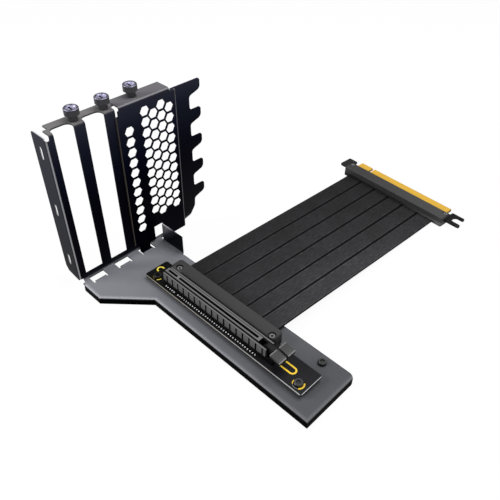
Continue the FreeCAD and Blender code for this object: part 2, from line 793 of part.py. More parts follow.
cut(socket, "card_slot", "XY", board_high, socket_top + t,
    box_loop(s.card_slot_start, middle - mouth, s.card_key_start, middle + mouth),
    box_loop(s.card_key_end, middle - mouth, s.card_slot_end, middle + mouth))
cavity = s.cavity_wide / 2
cut(socket, "contact_cavities", "XY", board_high, board_high + s.cavity_tall,
    box_loop(s.card_slot_start, middle - cavity, s.card_key_start, middle + cavity),
    box_loop(s.card_key_end, middle - cavity, s.card_slot_end, middle + cavity))
slit = cut(socket, "side_slit", "XY", foot_top - t / 4, shoulder - t * 0.6,
           box_loop(s.side_slit_first - s.side_slit_wide / 2, middle - half_wide - t,
                    s.side_slit_first + s.side_slit_wide / 2,
                    middle - half_wide + s.side_slit_depth),
           box_loop(s.side_slit_first - s.side_slit_wide / 2,
                    middle + half_wide - s.side_slit_depth,
                    s.side_slit_first + s.side_slit_wide / 2, middle + half_wide + t))
repeat(socket, "side_slits", [slit], "X", s.side_slit_pitch, s.side_slits - 1)
pocket = s.pocket_wide / 2
cut(socket, "latch_pocket", "XY", board_high + t / 2, socket_top + t,
    box_loop(s.pocket_start, middle - pocket, s.socket_toe + t, middle + pocket))
hinge_level = board_high + s.latch_hinge_height
cut_round(socket, "hinge_holes", "XZ", middle - half_wide - t, middle + half_wide + t,
          (s.latch_hinge, hinge_level, s.latch_pin / 2 + s.latch_pin_gap))
seat(socket)

# Two rows of contact springs that stand on the board inside the socket.
for label, way in (("front_contacts", -1), ("rear_contacts", 1)):
    row = new_body(label)
    near = middle + s.contact_gap * way
    back = near + s.contact_thick * way
    toe = near + s.contact_thick * 1.6 * way
    spring = [(near, board_high), (near, board_high + s.contact_tall),
              (back, board_high + s.contact_tall), (back, board_high + s.contact_thick),
              (toe, board_high + s.contact_thick), (toe, board_high)]
    short = pad(row, "short_spring", "YZ", s.contact_first,
                s.contact_first + s.contact_wide, spring)
    repeat(row, "short_row", [short], "X", s.contact_pitch, s.contacts_short)
    long_one = pad(row, "long_spring", "YZ", s.contact_second,
                   s.contact_second + s.contact_wide, spring)
    repeat(row, "long_row", [long_one], "X", s.contact_pitch, s.contacts_long)
    seat(row)

# Card latch: a lever on its own pin in the socket's end pocket, with two finger paddles.
latch = new_body("card_latch")
web = s.latch_wide / 2
hinge_away = s.latch_hinge
paddle_top = board_high + s.latch_paddle_height
paddle_low = paddle_top - s.latch_paddle_thick
lever_low = board_high + s.latch_hinge_height * 2
pad(latch, "lever", "XZ", middle - web, middle + web, [
    (hinge_away - s.latch_pin, hinge_level - s.latch_pin, s.latch_pin * 0.8),
    (hinge_away + s.latch_pin, hinge_level - s.latch_pin, s.latch_pin * 0.8),
    (hinge_away + s.latch_pin, lever_low, s.latch_pin),
    (s.latch_paddle_end - t, lever_low, t),
    (s.latch_paddle_end - t, paddle_low + t * 0.8 - s.latch_paddle_drop),
    (s.latch_paddle_start, paddle_low + t * 0.8), (s.latch_paddle_start, socket_top),
    (hinge_away + t, socket_top, t), (hinge_away - s.latch_pin, socket_top - t * 3)])
pad_round(latch, "hinge_pin", "XZ", middle - s.latch_pin_long / 2, middle + s.latch_pin_long / 2,
          (hinge_away, hinge_level, s.latch_pin / 2))
span = s.latch_paddle_span / 2
paddle_side = [
    (s.latch_paddle_start, paddle_low), (s.latch_paddle_end, paddle_low - s.latch_paddle_drop),
    (s.latch_paddle_end, paddle_top - s.latch_paddle_drop), (s.latch_paddle_start, paddle_top)]
inner_side = s.latch_paddle_gap / 2
pad(latch, "paddle_front", "XZ", middle - span, middle - inner_side, paddle_side)
pad(latch, "paddle_rear", "XZ", middle + inner_side, middle + span, paddle_side)
seat(latch)

# Ribbon clamp: a stepped bar under the board's edge and a cover, joined by two sunk screws. The
# strips enter through a flat way in the bar's rear side.
clamp_base = new_body("clamp_base")
ledge = s.board_back + s.clamp_side_gap
pad(clamp_base, "clamp_bar", "XY", 0, board_high, box_loop(
    s.clamp_start, s.clamp_front, s.clamp_end, s.clamp_back, s.clamp_corner))
cut(clamp_base, "board_step", "XY", board_low, board_high + t, box_loop(
    s.clamp_start - t, s.clamp_front - t, s.clamp_end + t, ledge))
ribbon_last = s.ribbon_first + s.ribbon_strip_pitch * (s.ribbon_strips - 1) + s.ribbon_strip_wide
cut(clamp_base, "ribbon_way", "XY", s.ribbon_clamp_low, s.ribbon_clamp_low + s.ribbon_thick, box_loop(
    s.ribbon_first - s.ribbon_side_gap, s.clamp_back - s.ribbon_grip - s.ribbon_side_gap,
    ribbon_last + s.ribbon_side_gap, s.clamp_back + t))
clamp_thread = s.clamp_screw_thread / 2
cut_round(clamp_base, "clamp_threads", "XY", -t, board_high + t,
          (s.clamp_screw_first, clamp_screw_side, clamp_thread + s.thread_fit),
          (clamp_screw_last, clamp_screw_side, clamp_thread + s.thread_fit))
seat(clamp_base)

clamp_cover = new_body("clamp_cover")
cover_top = board_high + s.clamp_tall
pad(clamp_cover, "clamp_lid", "XY", board_high, cover_top, box_loop(
    s.clamp_start, s.clamp_front, s.clamp_end, s.clamp_back, s.clamp_corner))
slant_edges(clamp_cover, "lid_edge", s.clamp_edge,
            lambda edge: edge.BoundBox.ZMin > cover_top.number - 0.01)
cut_round(clamp_cover, "clamp_screw_holes", "XY", board_high - t, cover_top + t,
          (s.clamp_screw_first, clamp_screw_side, clamp_clear),
          (clamp_screw_last, clamp_screw_side, clamp_clear))
cut_round(clamp_cover, "clamp_counterbores", "XY", cover_top - s.clamp_screw_sink, cover_top + t,
          (s.clamp_screw_first, clamp_screw_side, s.clamp_screw_head / 2 + s.counterbore_gap),
          (clamp_screw_last, clamp_screw_side, s.clamp_screw_head / 2 + s.counterbore_gap))
seat(clamp_cover)

clamp_screws = new_body("clamp_screws")
for label, away in (("near", s.clamp_screw_first), ("far", clamp_screw_last)):
    pan_screw(clamp_screws, "clamp_screw_" + label, away, clamp_screw_side,
              cover_top - s.clamp_screw_sink, s.clamp_screw_head, s.clamp_screw_head_tall,
              s.clamp_screw_thread, s.clamp_screw_tail)
seat(clamp_screws)

# Plug: two shells around the edge board, turned a little on the floor. Its own frame has X
# along the plug, Y towards the card edge and Z from the floor.


def seat_plug(body):
    body.Placement = Placement(Vector(0, 0, 0), Rotation(Vector(0, 0, -1), 1))
    place(body, s.plug_away - centre_away, s.plug_across - centre_across, as_size(0))
    body.setExpression("Placement.Rotation.Angle", s.plug_turn.text)


edge_low = s.plug_board_low
edge_high = s.plug_board_low + s.board_thick
plug_half = s.plug_long / 2
plug_front = s.plug_deep / 2
board_back_edge = -s.plug_board_back
screw_side = plug_front - s.plug_screw_inset
plug_screw_half = s.plug_screw_span / 2
plug_thread = s.plug_screw_thread / 2
lower = new_body("plug_lower_shell")
pad(lower, "lower_block", "XY", 0, edge_low, box_loop(
    -plug_half, -plug_front, plug_half, plug_front, s.plug_corner))
strip_far = s.ribbon_far_pitch * (s.ribbon_strips - 1) + s.ribbon_strip_wide
cut(lower, "ribbon_slot", "XY", s.plug_ribbon_low, s.plug_ribbon_low + s.ribbon_thick, box_loop(
    -strip_far / 2 - s.ribbon_side_gap * 2, -plug_front - t,
    strip_far / 2 + s.ribbon_side_gap * 2, -plug_front + s.plug_ribbon_slot_deep))
cut_round(lower, "plug_threads", "XY", t, edge_low + t,
          (-plug_screw_half, screw_side, plug_thread + s.thread_fit),
          (plug_screw_half, screw_side, plug_thread + s.thread_fit))
seat_plug(lower)

plug_board = new_body("plug_board")
edge_half = s.card_edge_long / 2
key_start = -edge_half + s.card_edge_short
fork_low = s.fork_slot_middle - s.fork_slot_wide / 2
fork_high = s.fork_slot_middle + s.fork_slot_wide / 2
pad(plug_board, "edge_board", "XY", edge_low, edge_high, [
    (-plug_half + t * 2, board_back_edge), (plug_half - t * 2, board_back_edge),
    (plug_half - t * 2, -s.fork_back), (s.fork_reach + t, -s.fork_back, t * 1.4),
    (s.fork_reach + t, fork_low, t * 1.4), (s.fork_slot_root, fork_low, s.fork_slot_wide * 0.4),
    (s.fork_slot_root, fork_high, s.fork_slot_wide * 0.4), (s.fork_reach - t, fork_high, t),
    (s.fork_reach - t, s.fork_prong_front, t), (s.fork_hook_start, s.fork_prong_front, t),
    (s.fork_hook_start, s.fork_notch_floor), (edge_half, s.fork_notch_floor),
    (edge_half, s.card_edge_reach, t / 2), (key_start + s.card_edge_key, s.card_edge_reach, t / 2),
    (key_start + s.card_edge_key, s.card_edge_reach - s.card_edge_key_deep),
    (key_start, s.card_edge_reach - s.card_edge_key_deep), (key_start, s.card_edge_reach, t / 2),
    (-edge_half, s.card_edge_reach, t / 2), (-edge_half, plug_front + t),
    (-plug_half, plug_front + t), (-plug_half, s.ear_left_deep, t),
    (-s.ear_left_reach, s.ear_left_deep, t), (-s.ear_left_reach, 0, t), (-plug_half + t * 2, 0)])
cut_round(plug_board, "plug_board_holes", "XY", edge_low - t, edge_high + t,
          (-plug_screw_half, screw_side, plug_thread + s.screw_hole_gap),
          (plug_screw_half, screw_side, plug_thread + s.screw_hole_gap))
seat_plug(plug_board)

upper = new_body("plug_upper_shell")
pad(upper, "upper_block", "XY", edge_low, s.plug_tall, box_loop(
    -plug_half, -plug_front, plug_half, plug_front, s.plug_corner))
slant_edges(upper, "shell_edge", s.clamp_edge,
            lambda edge: edge.BoundBox.ZMin > s.plug_tall.number - 0.01)
cut(upper, "board_recess", "XY", edge_low, edge_high, box_loop(
    -plug_half - t, board_back_edge - s.plug_board_gap, plug_half + t, plug_front + t))
cut_round(upper, "plug_screw_holes", "XY", edge_low, s.plug_tall + t,
          (-plug_screw_half, screw_side, plug_thread + s.screw_hole_gap),
          (plug_screw_half, screw_side, plug_thread + s.screw_hole_gap))
cut_round(upper, "plug_counterbores", "XY", s.plug_tall - s.plug_screw_sink, s.plug_tall + t,
          (-plug_screw_half, screw_side, s.plug_screw_head / 2 + s.counterbore_gap / 2),
          (plug_screw_half, screw_side, s.plug_screw_head / 2 + s.counterbore_gap / 2))
seat_plug(upper)

plug_screws = new_body("plug_screws")
for label, away in (("left", -plug_screw_half), ("right", plug_screw_half)):
    pan_screw(plug_screws, "plug_screw_" + label, away, screw_side,
              s.plug_tall - s.plug_screw_sink, s.plug_screw_head, s.plug_screw_head_tall,
              s.plug_screw_thread, t * 1.2)
seat_plug(plug_screws)

# Ribbon strips: each leaves the clamp level, passes over the base's edge, sinks evenly to the
# plug and enters it level, and turns a little outward from its neighbour.
# Route heights are counted from the floor.
clamp_line = s.rim_depth.number + s.ribbon_clamp_low.number + s.ribbon_thick.number / 2
plug_line = s.plug_ribbon_low.number + s.ribbon_thick.number / 2


def ribbon_outline(end):
    edge = -s.ribbon_strip_wide.number / 2
    stations = [(s.clamp_back.number - s.ribbon_grip.number, clamp_line),
                (s.clamp_back.number + s.ribbon_level_run.number, clamp_line),
                (end - s.ribbon_entry.number - s.ribbon_entry_run.number, plug_line),
                (end, plug_line)]
    route = [Vector(edge, across - s.clamp_back.number, level) for across, level in stations]
    radii = []
    length = 0.0
    upper_side = []
    lower_side = []
    half = s.ribbon_thick.number / 2
    cursor = route[0]
    for before, here, after in zip(route, route[1:], route[2:]):
        back = (before - here).normalize()
        ahead = (after - here).normalize()
        turn = math.pi - back.getAngle(ahead)
        shorter = min(before.distanceToPoint(here), here.distanceToPoint(after))
        radius = 0.45 * shorter / math.tan(turn / 2)
        run = radius * math.tan(turn / 2)
        start_point = here + back * run
        end_point = here + ahead * run
        centre = here + (back + ahead).normalize() * (radius / math.cos(turn / 2))
        middle_point = centre + (here - centre).normalize() * radius
        line_across = Vector(0, back.z, -back.y) * half
        for side, sign in ((upper_side, 1), (lower_side, -1)):
            shift = line_across * sign
            side.append(Part.LineSegment(cursor + shift, start_point + shift))
            scaled = [centre + (point - centre) * (
                1 + sign * half / radius * (-1 if centre.z > here.z else 1))
                for point in (start_point, middle_point, end_point)]
            side.append(Part.Arc(*scaled))
        length += cursor.distanceToPoint(start_point) + radius * turn
        cursor = end_point
        radii.append(round(radius, 1))
    final = (route[-1] - route[-2]).normalize()
    line_across = Vector(0, -final.z, final.y) * half
    for side, sign in ((upper_side, 1), (lower_side, -1)):
        side.append(Part.LineSegment(cursor + line_across * sign, route[-1] + line_across * sign))
    length += cursor.distanceToPoint(route[-1])
    rim = [piece.toShape() for piece in upper_side + lower_side]
    rim.append(Part.LineSegment(upper_side[0].StartPoint, lower_side[0].StartPoint).toShape())
    rim.append(Part.LineSegment(upper_side[-1].EndPoint, lower_side[-1].EndPoint).toShape())
    outline = Part.Wire(Part.__sortEdges__(rim))
    return Part.Face(outline), length, radii


for number in range(int(s.ribbon_strips.number)):
    near_middle = (s.ribbon_first.number + s.ribbon_strip_wide.number / 2
                   + s.ribbon_strip_pitch.number * number)
    gained = (s.ribbon_far_pitch.number - s.ribbon_strip_pitch.number) * number
    drift = s.ribbon_drift.number + gained
    lean = math.atan2(drift, s.plug_across.number - s.clamp_back.number)
    far_middle = near_middle + drift
    plug_face = (s.plug_across.number - s.plug_deep.number / 2
                 - (far_middle - s.plug_away.number) * math.tan(math.radians(s.plug_turn.number)))
    face, length, radii = ribbon_outline(plug_face + s.ribbon_entry.number)
    width = s.ribbon_strip_wide.number
    solid = face.extrude(Vector(width, 0, 0))
    strip = doc.addObject("Part::Feature", "ribbon_strip_%d" % (number + 1))
    strip.Label = "ribbon_strip_%d" % (number + 1)
    strip.Shape = solid
    strip.Placement = Placement(
        Vector(near_middle - centre_away.number,
               s.clamp_back.number - centre_across.number, 0),
        Rotation(Vector(0, 0, 1), -math.degrees(lean)))
    parts[strip.Label] = strip
    print("ribbon strip %d: length %.1f, radii %s, volume %.1f of %.1f" % (
        number + 1, length, radii, solid.Volume,
        length * width * s.ribbon_thick.number))

doc.recompute()

# Every feature must have worked, and every cut must have removed something.
faults = []
for item in doc.Objects:
    if "Invalid" in item.State or "Error" in item.State:
        faults.append("%s: %s" % (item.Name, item.State))
    if item.TypeId == "PartDesign::Pocket":
        if item.Shape.Volume > item.BaseFeature.Shape.Volume - 1e-6:
            faults.append("%s removes nothing" % item.Name)
for label, item in parts.items():
    if item.Shape.isNull() or not item.Shape.isValid():
        faults.append("%s has no valid shape" % label)
if faults:
    raise RuntimeError("\n".join(faults))

for label, item in parts.items():
    box = item.Shape.BoundBox
    print("%-18s solids %3d faces %4d volume %9.1f x %7.2f %7.2f y %7.2f %7.2f z %7.2f %7.2f" % (
        label, len(item.Shape.Solids), len(item.Shape.Faces), item.Shape.Volume,
        box.XMin, box.XMax, box.YMin, box.YMax, box.ZMin, box.ZMax))
    item.Shape.exportStep("parts/%s.step" % label)
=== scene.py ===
import math

import bmesh
import bpy
from mathutils import Matrix, Vector


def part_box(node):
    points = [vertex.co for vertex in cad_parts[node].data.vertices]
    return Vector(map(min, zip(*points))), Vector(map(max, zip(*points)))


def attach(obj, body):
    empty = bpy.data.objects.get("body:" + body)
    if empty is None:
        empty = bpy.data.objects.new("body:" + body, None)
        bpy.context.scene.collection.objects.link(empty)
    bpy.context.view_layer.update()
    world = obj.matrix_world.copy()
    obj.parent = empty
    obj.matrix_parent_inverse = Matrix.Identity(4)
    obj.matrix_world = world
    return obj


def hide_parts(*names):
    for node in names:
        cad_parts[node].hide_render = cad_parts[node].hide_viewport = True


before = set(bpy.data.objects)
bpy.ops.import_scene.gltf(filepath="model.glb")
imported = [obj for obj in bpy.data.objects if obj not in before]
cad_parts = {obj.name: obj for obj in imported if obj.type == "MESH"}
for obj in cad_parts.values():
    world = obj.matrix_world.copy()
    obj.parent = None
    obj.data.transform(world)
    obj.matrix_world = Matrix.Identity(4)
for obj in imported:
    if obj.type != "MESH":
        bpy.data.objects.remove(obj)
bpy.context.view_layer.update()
mm = 0.001
print("frame loaded")

# For every piece: weld joins near points and relief is the depth of a grain, both in mm, and
# an edge that turns by more than sharp degrees stays crisp.
finishing = {"weld": 0.002, "sharp": 32, "relief": 0.2}

# Cells to the mm. Real grit is finer than these grains, which are as coarse as it needs to show.
grains = {"coat": 1.4, "mask": 0.9, "turned": 0.7, "moulded": 1.1, "plated": 1.5, "jacket": 1.8,
          "cloud": 0.06}


# Helpers for every piece.
def onlyKind(geometry, kind):
    return [item for item in geometry if isinstance(item, kind)]


def finishPiece(bm, name, material, smooth=True):
    bmesh.ops.remove_doubles(bm, verts=bm.verts, dist=finishing["weld"] * mm)
    bmesh.ops.recalc_face_normals(bm, faces=bm.faces)
    mesh = bpy.data.meshes.new(name)
    bm.to_mesh(mesh)
    bm.free()
    mesh.materials.append(material)
    if smooth:
        mesh.shade_smooth()
        mesh.set_sharp_from_angle(angle=math.radians(finishing["sharp"]))
    piece = bpy.data.objects.new(name, mesh)
    bpy.context.scene.collection.objects.link(piece)
    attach(piece, "bracket")
    return piece


# Helpers for every finish.
def hexColor(code):
    channels = [int(code[i:i + 2], 16) / 255 for i in (1, 3, 5)]
    return [c / 12.92 if c <= 0.04045 else ((c + 0.055) / 1.055) ** 2.4 for c in channels] + [1.0]


# A socket goes by its label, or by its number: 1 in the settings, in1 in the links.
def addNode(tree, kind, settings=None, **links):
    node = tree.nodes.new(kind)
    for key, value in (settings or {}).items():
        if isinstance(key, int) or key in node.inputs:
            node.inputs[key].default_value = value
        else:
            setattr(node, key, value)
    for key, source in links.items():
        tree.links.new(source, node.inputs[int(key[2:]) if key.startswith("in") else key])
    return node


def newMaterial(name):
    material = bpy.data.materials.new(name)
    material.use_nodes = True
    tree = material.node_tree
    return material, tree, tree.nodes["Principled BSDF"]


# The place on the object, as a vector in metres and as X, Y and Z in mm.
def placeOf(tree):
    where = addNode(tree, "ShaderNodeTexCoord").outputs["Object"]
    scaled = addNode(tree, "ShaderNodeVectorMath", {"operation": "SCALE", "Scale": 1 / mm},
                     in0=where)
    return where, addNode(tree, "ShaderNodeSeparateXYZ", Vector=scaled.outputs[0]).outputs


# Distance in plan from an upright line at x and y, in mm.
def planDistance(tree, at, x, y):
    flat = addNode(tree, "ShaderNodeCombineXYZ", X=at["X"], Y=at["Y"])
    return addNode(tree, "ShaderNodeVectorMath", {"operation": "DISTANCE", 1: (x, y, 0)},
                   in0=flat.outputs[0]).outputs["Value"]


# A tone that changes along a line, from stops in mm; a number stands for a share of grey.
def toneAlong(tree, source, stops):
    low, high = stops[0][0], stops[-1][0]
    spread = addNode(tree, "ShaderNodeMapRange", {"From Min": low, "From Max": high}, Value=source)
    node = addNode(tree, "ShaderNodeValToRGB", Fac=spread.outputs["Result"])
    rampStops = node.color_ramp.elements
    while len(rampStops) < len(stops):
        rampStops.new(0.5)
    for rampStop, (level, tone) in zip(rampStops, stops):
        rampStop.position = (level - low) / (high - low)
        rampStop.color = hexColor(tone) if isinstance(tone, str) else (tone, tone, tone, 1)
    return node.outputs["Color"]


# One tone over another where all limits hold; a limit rises from none at start to full at end.
def paintOver(tree, under, over, *limits, way="MIX"):
    settings, links = {"data_type": "RGBA", "blend_type": way, 0: 1.0}, {}
    for source, start, end in limits:
        rise = addNode(tree, "ShaderNodeMapRange", {"From Min": start, "From Max": end},
                       Value=source).outputs["Result"]
        if "in0" in links:
            rise = addNode(tree, "ShaderNodeMath", {"operation": "MULTIPLY"}, in0=links["in0"],
                           in1=rise).outputs[0]
        links["in0"] = rise
    for number, tone in ((6, under), (7, over)):
        if isinstance(tone, str):
            settings[number] = hexColor(tone)
        else:
            links["in%d" % number] = tone
    return addNode(tree, "ShaderNodeMix", settings, **links).outputs[2]


# The last steps of a finish: a soft cloud over the tone, 17 mm across, and a fine grain.
# Specular is a number, or a socket where it changes over the piece.
def finishSurface(tree, shader, where, tone, grain, roughness, specular, relief, metallic=0.0):
    cloud = addNode(tree, "ShaderNodeTexNoise", {"Scale": grains["cloud"] / mm, "Detail": 4.0},
                    Vector=where)
    soft = addNode(tree, "ShaderNodeMapRange", {"To Min": 0.92, "To Max": 1.08},
                   Value=cloud.outputs["Fac"])
    cloudy = paintOver(tree, tone, soft.outputs["Result"], way="MULTIPLY")
    tree.links.new(cloudy, shader.inputs["Base Color"])
    fine = addNode(tree, "ShaderNodeTexNoise", {"Scale": grains[grain] / mm, "Detail": 2.0},
                   Vector=where)
    bump = addNode(tree, "ShaderNodeBump", {"Strength": relief,
                   "Distance": finishing["relief"] * mm}, Height=fine.outputs["Fac"])
    tree.links.new(bump.outputs["Normal"], shader.inputs["Normal"])
    shader.inputs["Roughness"].default_value = roughness
    shader.inputs["Metallic"].default_value = metallic
    if not isinstance(specular, float):
        tree.links.new(specular, shader.inputs["Specular IOR Level"])
    elif metallic < 0.5:
        shader.inputs["Specular IOR Level"].default_value = specular


# Camera at the photograph's viewpoint: degrees, mm for lens and sensor, metres for its place.
view = {"azimuth": 44.04, "elevation": 40.929, "roll": 0.703, "lens": 40.69, "sensor": 36,
        "place": (0.1873, -0.1760, 0.2686), "shiftX": 0.0079, "shiftY": 0.0037,
        "near": 0.01, "far": 20}
turn, rise, roll = (math.radians(view[k]) for k in ("azimuth", "elevation", "roll"))
backward = Vector((math.sin(turn) * math.cos(rise), -math.cos(turn) * math.cos(rise),
                   math.sin(rise)))
rightward = (-backward).cross(Vector((0, 0, 1))).normalized()
upward = rightward.cross(-backward)
camRight = rightward * math.cos(roll) + upward * math.sin(roll)
camUp = upward * math.cos(roll) - rightward * math.sin(roll)
cameraTurn = Matrix((camRight, camUp, backward)).transposed().to_4x4()
cameraData = bpy.data.cameras.new("camera")
camera = bpy.data.objects.new("camera", cameraData)
bpy.context.scene.collection.objects.link(camera)
camera.matrix_world = Matrix.Translation(view["place"]) @ cameraTurn
cameraData.lens = view["lens"]
cameraData.sensor_width = view["sensor"]
cameraData.shift_x = view["shiftX"]
cameraData.shift_y = view["shiftY"]
cameraData.clip_start = view["near"]
cameraData.clip_end = view["far"]
bpy.context.scene.camera = camera
bpy.context.scene.view_settings.view_transform = "Standard"
print("camera set")

# Ribbon: six flat strips side by side from the clamp to the plug, fanned out a little.
# Route steps are across and height, in mm from the clamp's rear edge and from the floor.
ribbon = {"strips": 6, "wide": 13.35, "thick": 1.0, "firstMiddle": -31.975, "pitch": 13.55,
          "drift": 3.4, "driftStep": 0.72, "clampBack": -0.4,
          "clampSteps": ((-3.9, 7.5), (8.0, 7.5)), "laidHeight": 1.15, "smoothness": 16,
          "plugTurn": 3.9, "plugAway": 8.6, "plugAcross": 181.3, "plugDeep": 9.8,
          "entry": 3.0, "entryRun": 12.0, "edgeRound": 0.2,
          "lipWide": 0.55, "lipHigh": 0.1, "lipSlope": 0.15, "shadeWebWide": 1.0, "shadeWebHalf": 0.1,
          "lengths": (186.4, 185.4, 184.5, 183.5, 182.6, 181.6)}


def routeLine(index):
    middle = ribbon["firstMiddle"] + ribbon["pitch"] * index
    drift = ribbon["drift"] + ribbon["driftStep"] * index
    lean = math.atan2(drift, ribbon["plugAcross"] - ribbon["clampBack"])
    face = (ribbon["plugAcross"] - ribbon["plugDeep"] / 2
            - (middle + drift - ribbon["plugAway"]) * math.tan(math.radians(ribbon["plugTurn"])))
    last = face - ribbon["clampBack"]
    steps = [*ribbon["clampSteps"], (last - ribbon["entryRun"], ribbon["laidHeight"]),
             (last + ribbon["entry"], ribbon["laidHeight"])]
    curve = bpy.data.curves.new("stripRoute", "CURVE")
    curve.dimensions = "3D"
    curve.resolution_u = ribbon["smoothness"]
    spline = curve.splines.new("NURBS")
    spline.points.add(len(steps) - 1)
    for point, (across, height) in zip(spline.points, steps):
        point.co = ((middle + across * math.sin(lean)) * mm,
                    (ribbon["clampBack"] + across * math.cos(lean)) * mm, height * mm, 1)
    spline.order_u = 3
    spline.use_endpoint_u = True
    holder = bpy.data.objects.new("stripRoute", curve)
    line = bpy.data.meshes.new_from_object(holder)
    path = [v.co.copy() for v in line.vertices]
    bpy.data.objects.remove(holder)
    bpy.data.curves.remove(curve)
    bpy.data.meshes.remove(line)
    return path, lean


# A strip's outline: rounded edges, a raised lip along each, and a thin dark sheet to the next
# strip, which stands in for the shade in the gap between the strips.
def ribbonSection(joined):
    half, tall, cut = ribbon["wide"] / 2, ribbon["thick"] / 2, ribbon["edgeRound"]
    lip, level = half - ribbon["lipWide"], tall - ribbon["lipHigh"]
    reach, thin = half + ribbon["shadeWebWide"], ribbon["shadeWebHalf"]
    inner = lip - ribbon["lipSlope"]
    shadeWeb = [(half, -thin), (reach, -thin), (reach, thin), (half, thin)] if joined else []
    return [(-half, -tall + cut), (-half + cut, -tall), (half - cut, -tall), (half, -tall + cut),
            *shadeWeb, (half, tall - cut), (half - cut, tall), (lip, tall), (inner, level),
            (-inner, level), (-lip, tall), (-half + cut, tall), (-half, tall - cut)]


def ribbonStrip(index, material):
    path, lean = routeLine(index)
    side = Vector((math.cos(lean), -math.sin(lean), 0))
    section = ribbonSection(index < ribbon["strips"] - 1)
    bm = bmesh.new()
    rings = []
    uvLayer = bm.loops.layers.uv.new("along")
    for at, point in enumerate(path):
        ahead = (path[min(at + 1, len(path) - 1)] - path[max(at - 1, 0)]).normalized()
        upright = side.cross(ahead).normalized()
        rings.append([bm.verts.new(point + side * (a * mm) + upright * (b * mm))
                      for a, b in section])
    for near, far in zip(rings, rings[1:]):
        edges = [bm.edges.get(pair) or bm.edges.new(pair)
                 for ring in (near, far) for pair in zip(ring[-1:] + ring[:-1], ring)]
        bmesh.ops.bridge_loops(bm, edges=edges)
    for ring in (rings[0], rings[-1]):
        bm.faces.new(ring)
    for face in bm.faces:
        for loop in face.loops:
            offset = loop.vert.co - path[0]
            loop[uvLayer].uv = (offset.dot(side) / mm, offset.y / mm)
    piece = finishPiece(bm, "ribbonStrip.%d" % (index + 1), material)
    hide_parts("ribbon_strip_%d" % (index + 1))
    return piece, path


# Shielded ribbon jacket: calendered black vinyl tape, satin, with a fine grain and the mottling
# of the drain wires below, 0.8 by 5 mm. Shares of the tone paint light and shade: a painted sheen
# brighter toward one side of the ribbon, painted shade at both its ends, painted highlights on
# each strip's lips and, darkest of all, painted shade in the valleys between the strips.
def jacketMaterial():
    material, tree, shader = newMaterial("calendered vinyl ribbon jacket")
    where, at = placeOf(tree)
    cloud = addNode(tree, "ShaderNodeTexNoise", {"Scale": grains["cloud"] / mm, "Detail": 3.0},
                    Vector=where)
    tone = toneAlong(tree, cloud.outputs["Fac"], [(0.3, "#212122"), (0.7, "#28282a")])
    laid = addNode(tree, "ShaderNodeUVMap", {"uv_map": "along"}).outputs["UV"]
    drawn = addNode(tree, "ShaderNodeVectorMath", {"operation": "MULTIPLY", 1: (1.2, 0.2, 1.0)},
                    in0=laid)
    weave = addNode(tree, "ShaderNodeTexNoise", {"Scale": 1.0, "Detail": 2.0},
                    Vector=drawn.outputs[0])
    mottled = addNode(tree, "ShaderNodeMapRange", {"From Min": 0.3, "From Max": 0.7,
                      "To Min": 0.62, "To Max": 1.38}, Value=weave.outputs["Fac"])
    strip = addNode(tree, "ShaderNodeSeparateXYZ", Vector=laid)
    away = addNode(tree, "ShaderNodeMath", {"operation": "ABSOLUTE"}, in0=strip.outputs["X"])
    # Painted sheen: darker on one side of the ribbon, brighter toward the other.
    paintedSheenAcross = toneAlong(tree, at["X"], [
        (-45.0, 0.4), (-15.0, 0.58), (15.0, 0.69), (40.0, 0.98), (55.0, 1.0)])
    # Painted shade toward both ends of the ribbon.
    paintedShadeAtEnds = toneAlong(tree, at["Y"], [
        (0.0, 0.72), (30.0, 1.0), (90.0, 1.0), (164.0, 0.64), (200.0, 0.64)])
    # Painted highlights on the lips, and painted shade in the valleys and on the sheet between
    # strips.
    valleyShadeAndLipHighlight = toneAlong(tree, away.outputs[0], [
        (0.0, 0.4), (5.3, 0.4), (5.65, 0.72), (5.9, 0.68), (6.05, 0.02), (8.0, 0.01)])
    for share in (mottled.outputs["Result"], paintedSheenAcross, paintedShadeAtEnds, valleyShadeAndLipHighlight):
        tone = paintOver(tree, tone, share, way="MULTIPLY")

    # The scale makes up for what the shares take away.
    raised = addNode(tree, "ShaderNodeVectorMath", {"operation": "SCALE", "Scale": 5.4}, in0=tone)
    tree.links.new(raised.outputs[0], shader.inputs["Base Color"])
    grain = addNode(tree, "ShaderNodeTexNoise", {"Scale": grains["jacket"] / mm, "Detail": 2.0},
                    Vector=where)
    bump = addNode(tree, "ShaderNodeBump", {"Strength": 0.12,
                   "Distance": finishing["relief"] * mm}, Height=grain.outputs["Fac"])
    tree.links.new(bump.outputs["Normal"], shader.inputs["Normal"])
    shader.inputs["Roughness"].default_value = 0.5
    shader.inputs["Specular IOR Level"].default_value = 0.2
    return material


jacket = jacketMaterial()
strips = [ribbonStrip(number, jacket) for number in range(ribbon["strips"])]
print("ribbon strips laid")

# Floor, world and lamps, in metres and watts. A lamp is place, target, size and power.
studio = {"floorSize": 6.0, "floorLevel": -0.0002, "floorGlow": 1.17, "glowShare": 0.8,
          "mirrorShare": 0.4, "worldLevel": 0.22,
          "lamps": {"overheadBox": ((0.2, 0.3, 1.05), (0.0, 0.06, 0.0), 0.9, 10.0),
                    "sideBox": ((-0.6, -0.75, 0.62), (0.0, 0.0, 0.05), 0.5, 8.0)}}


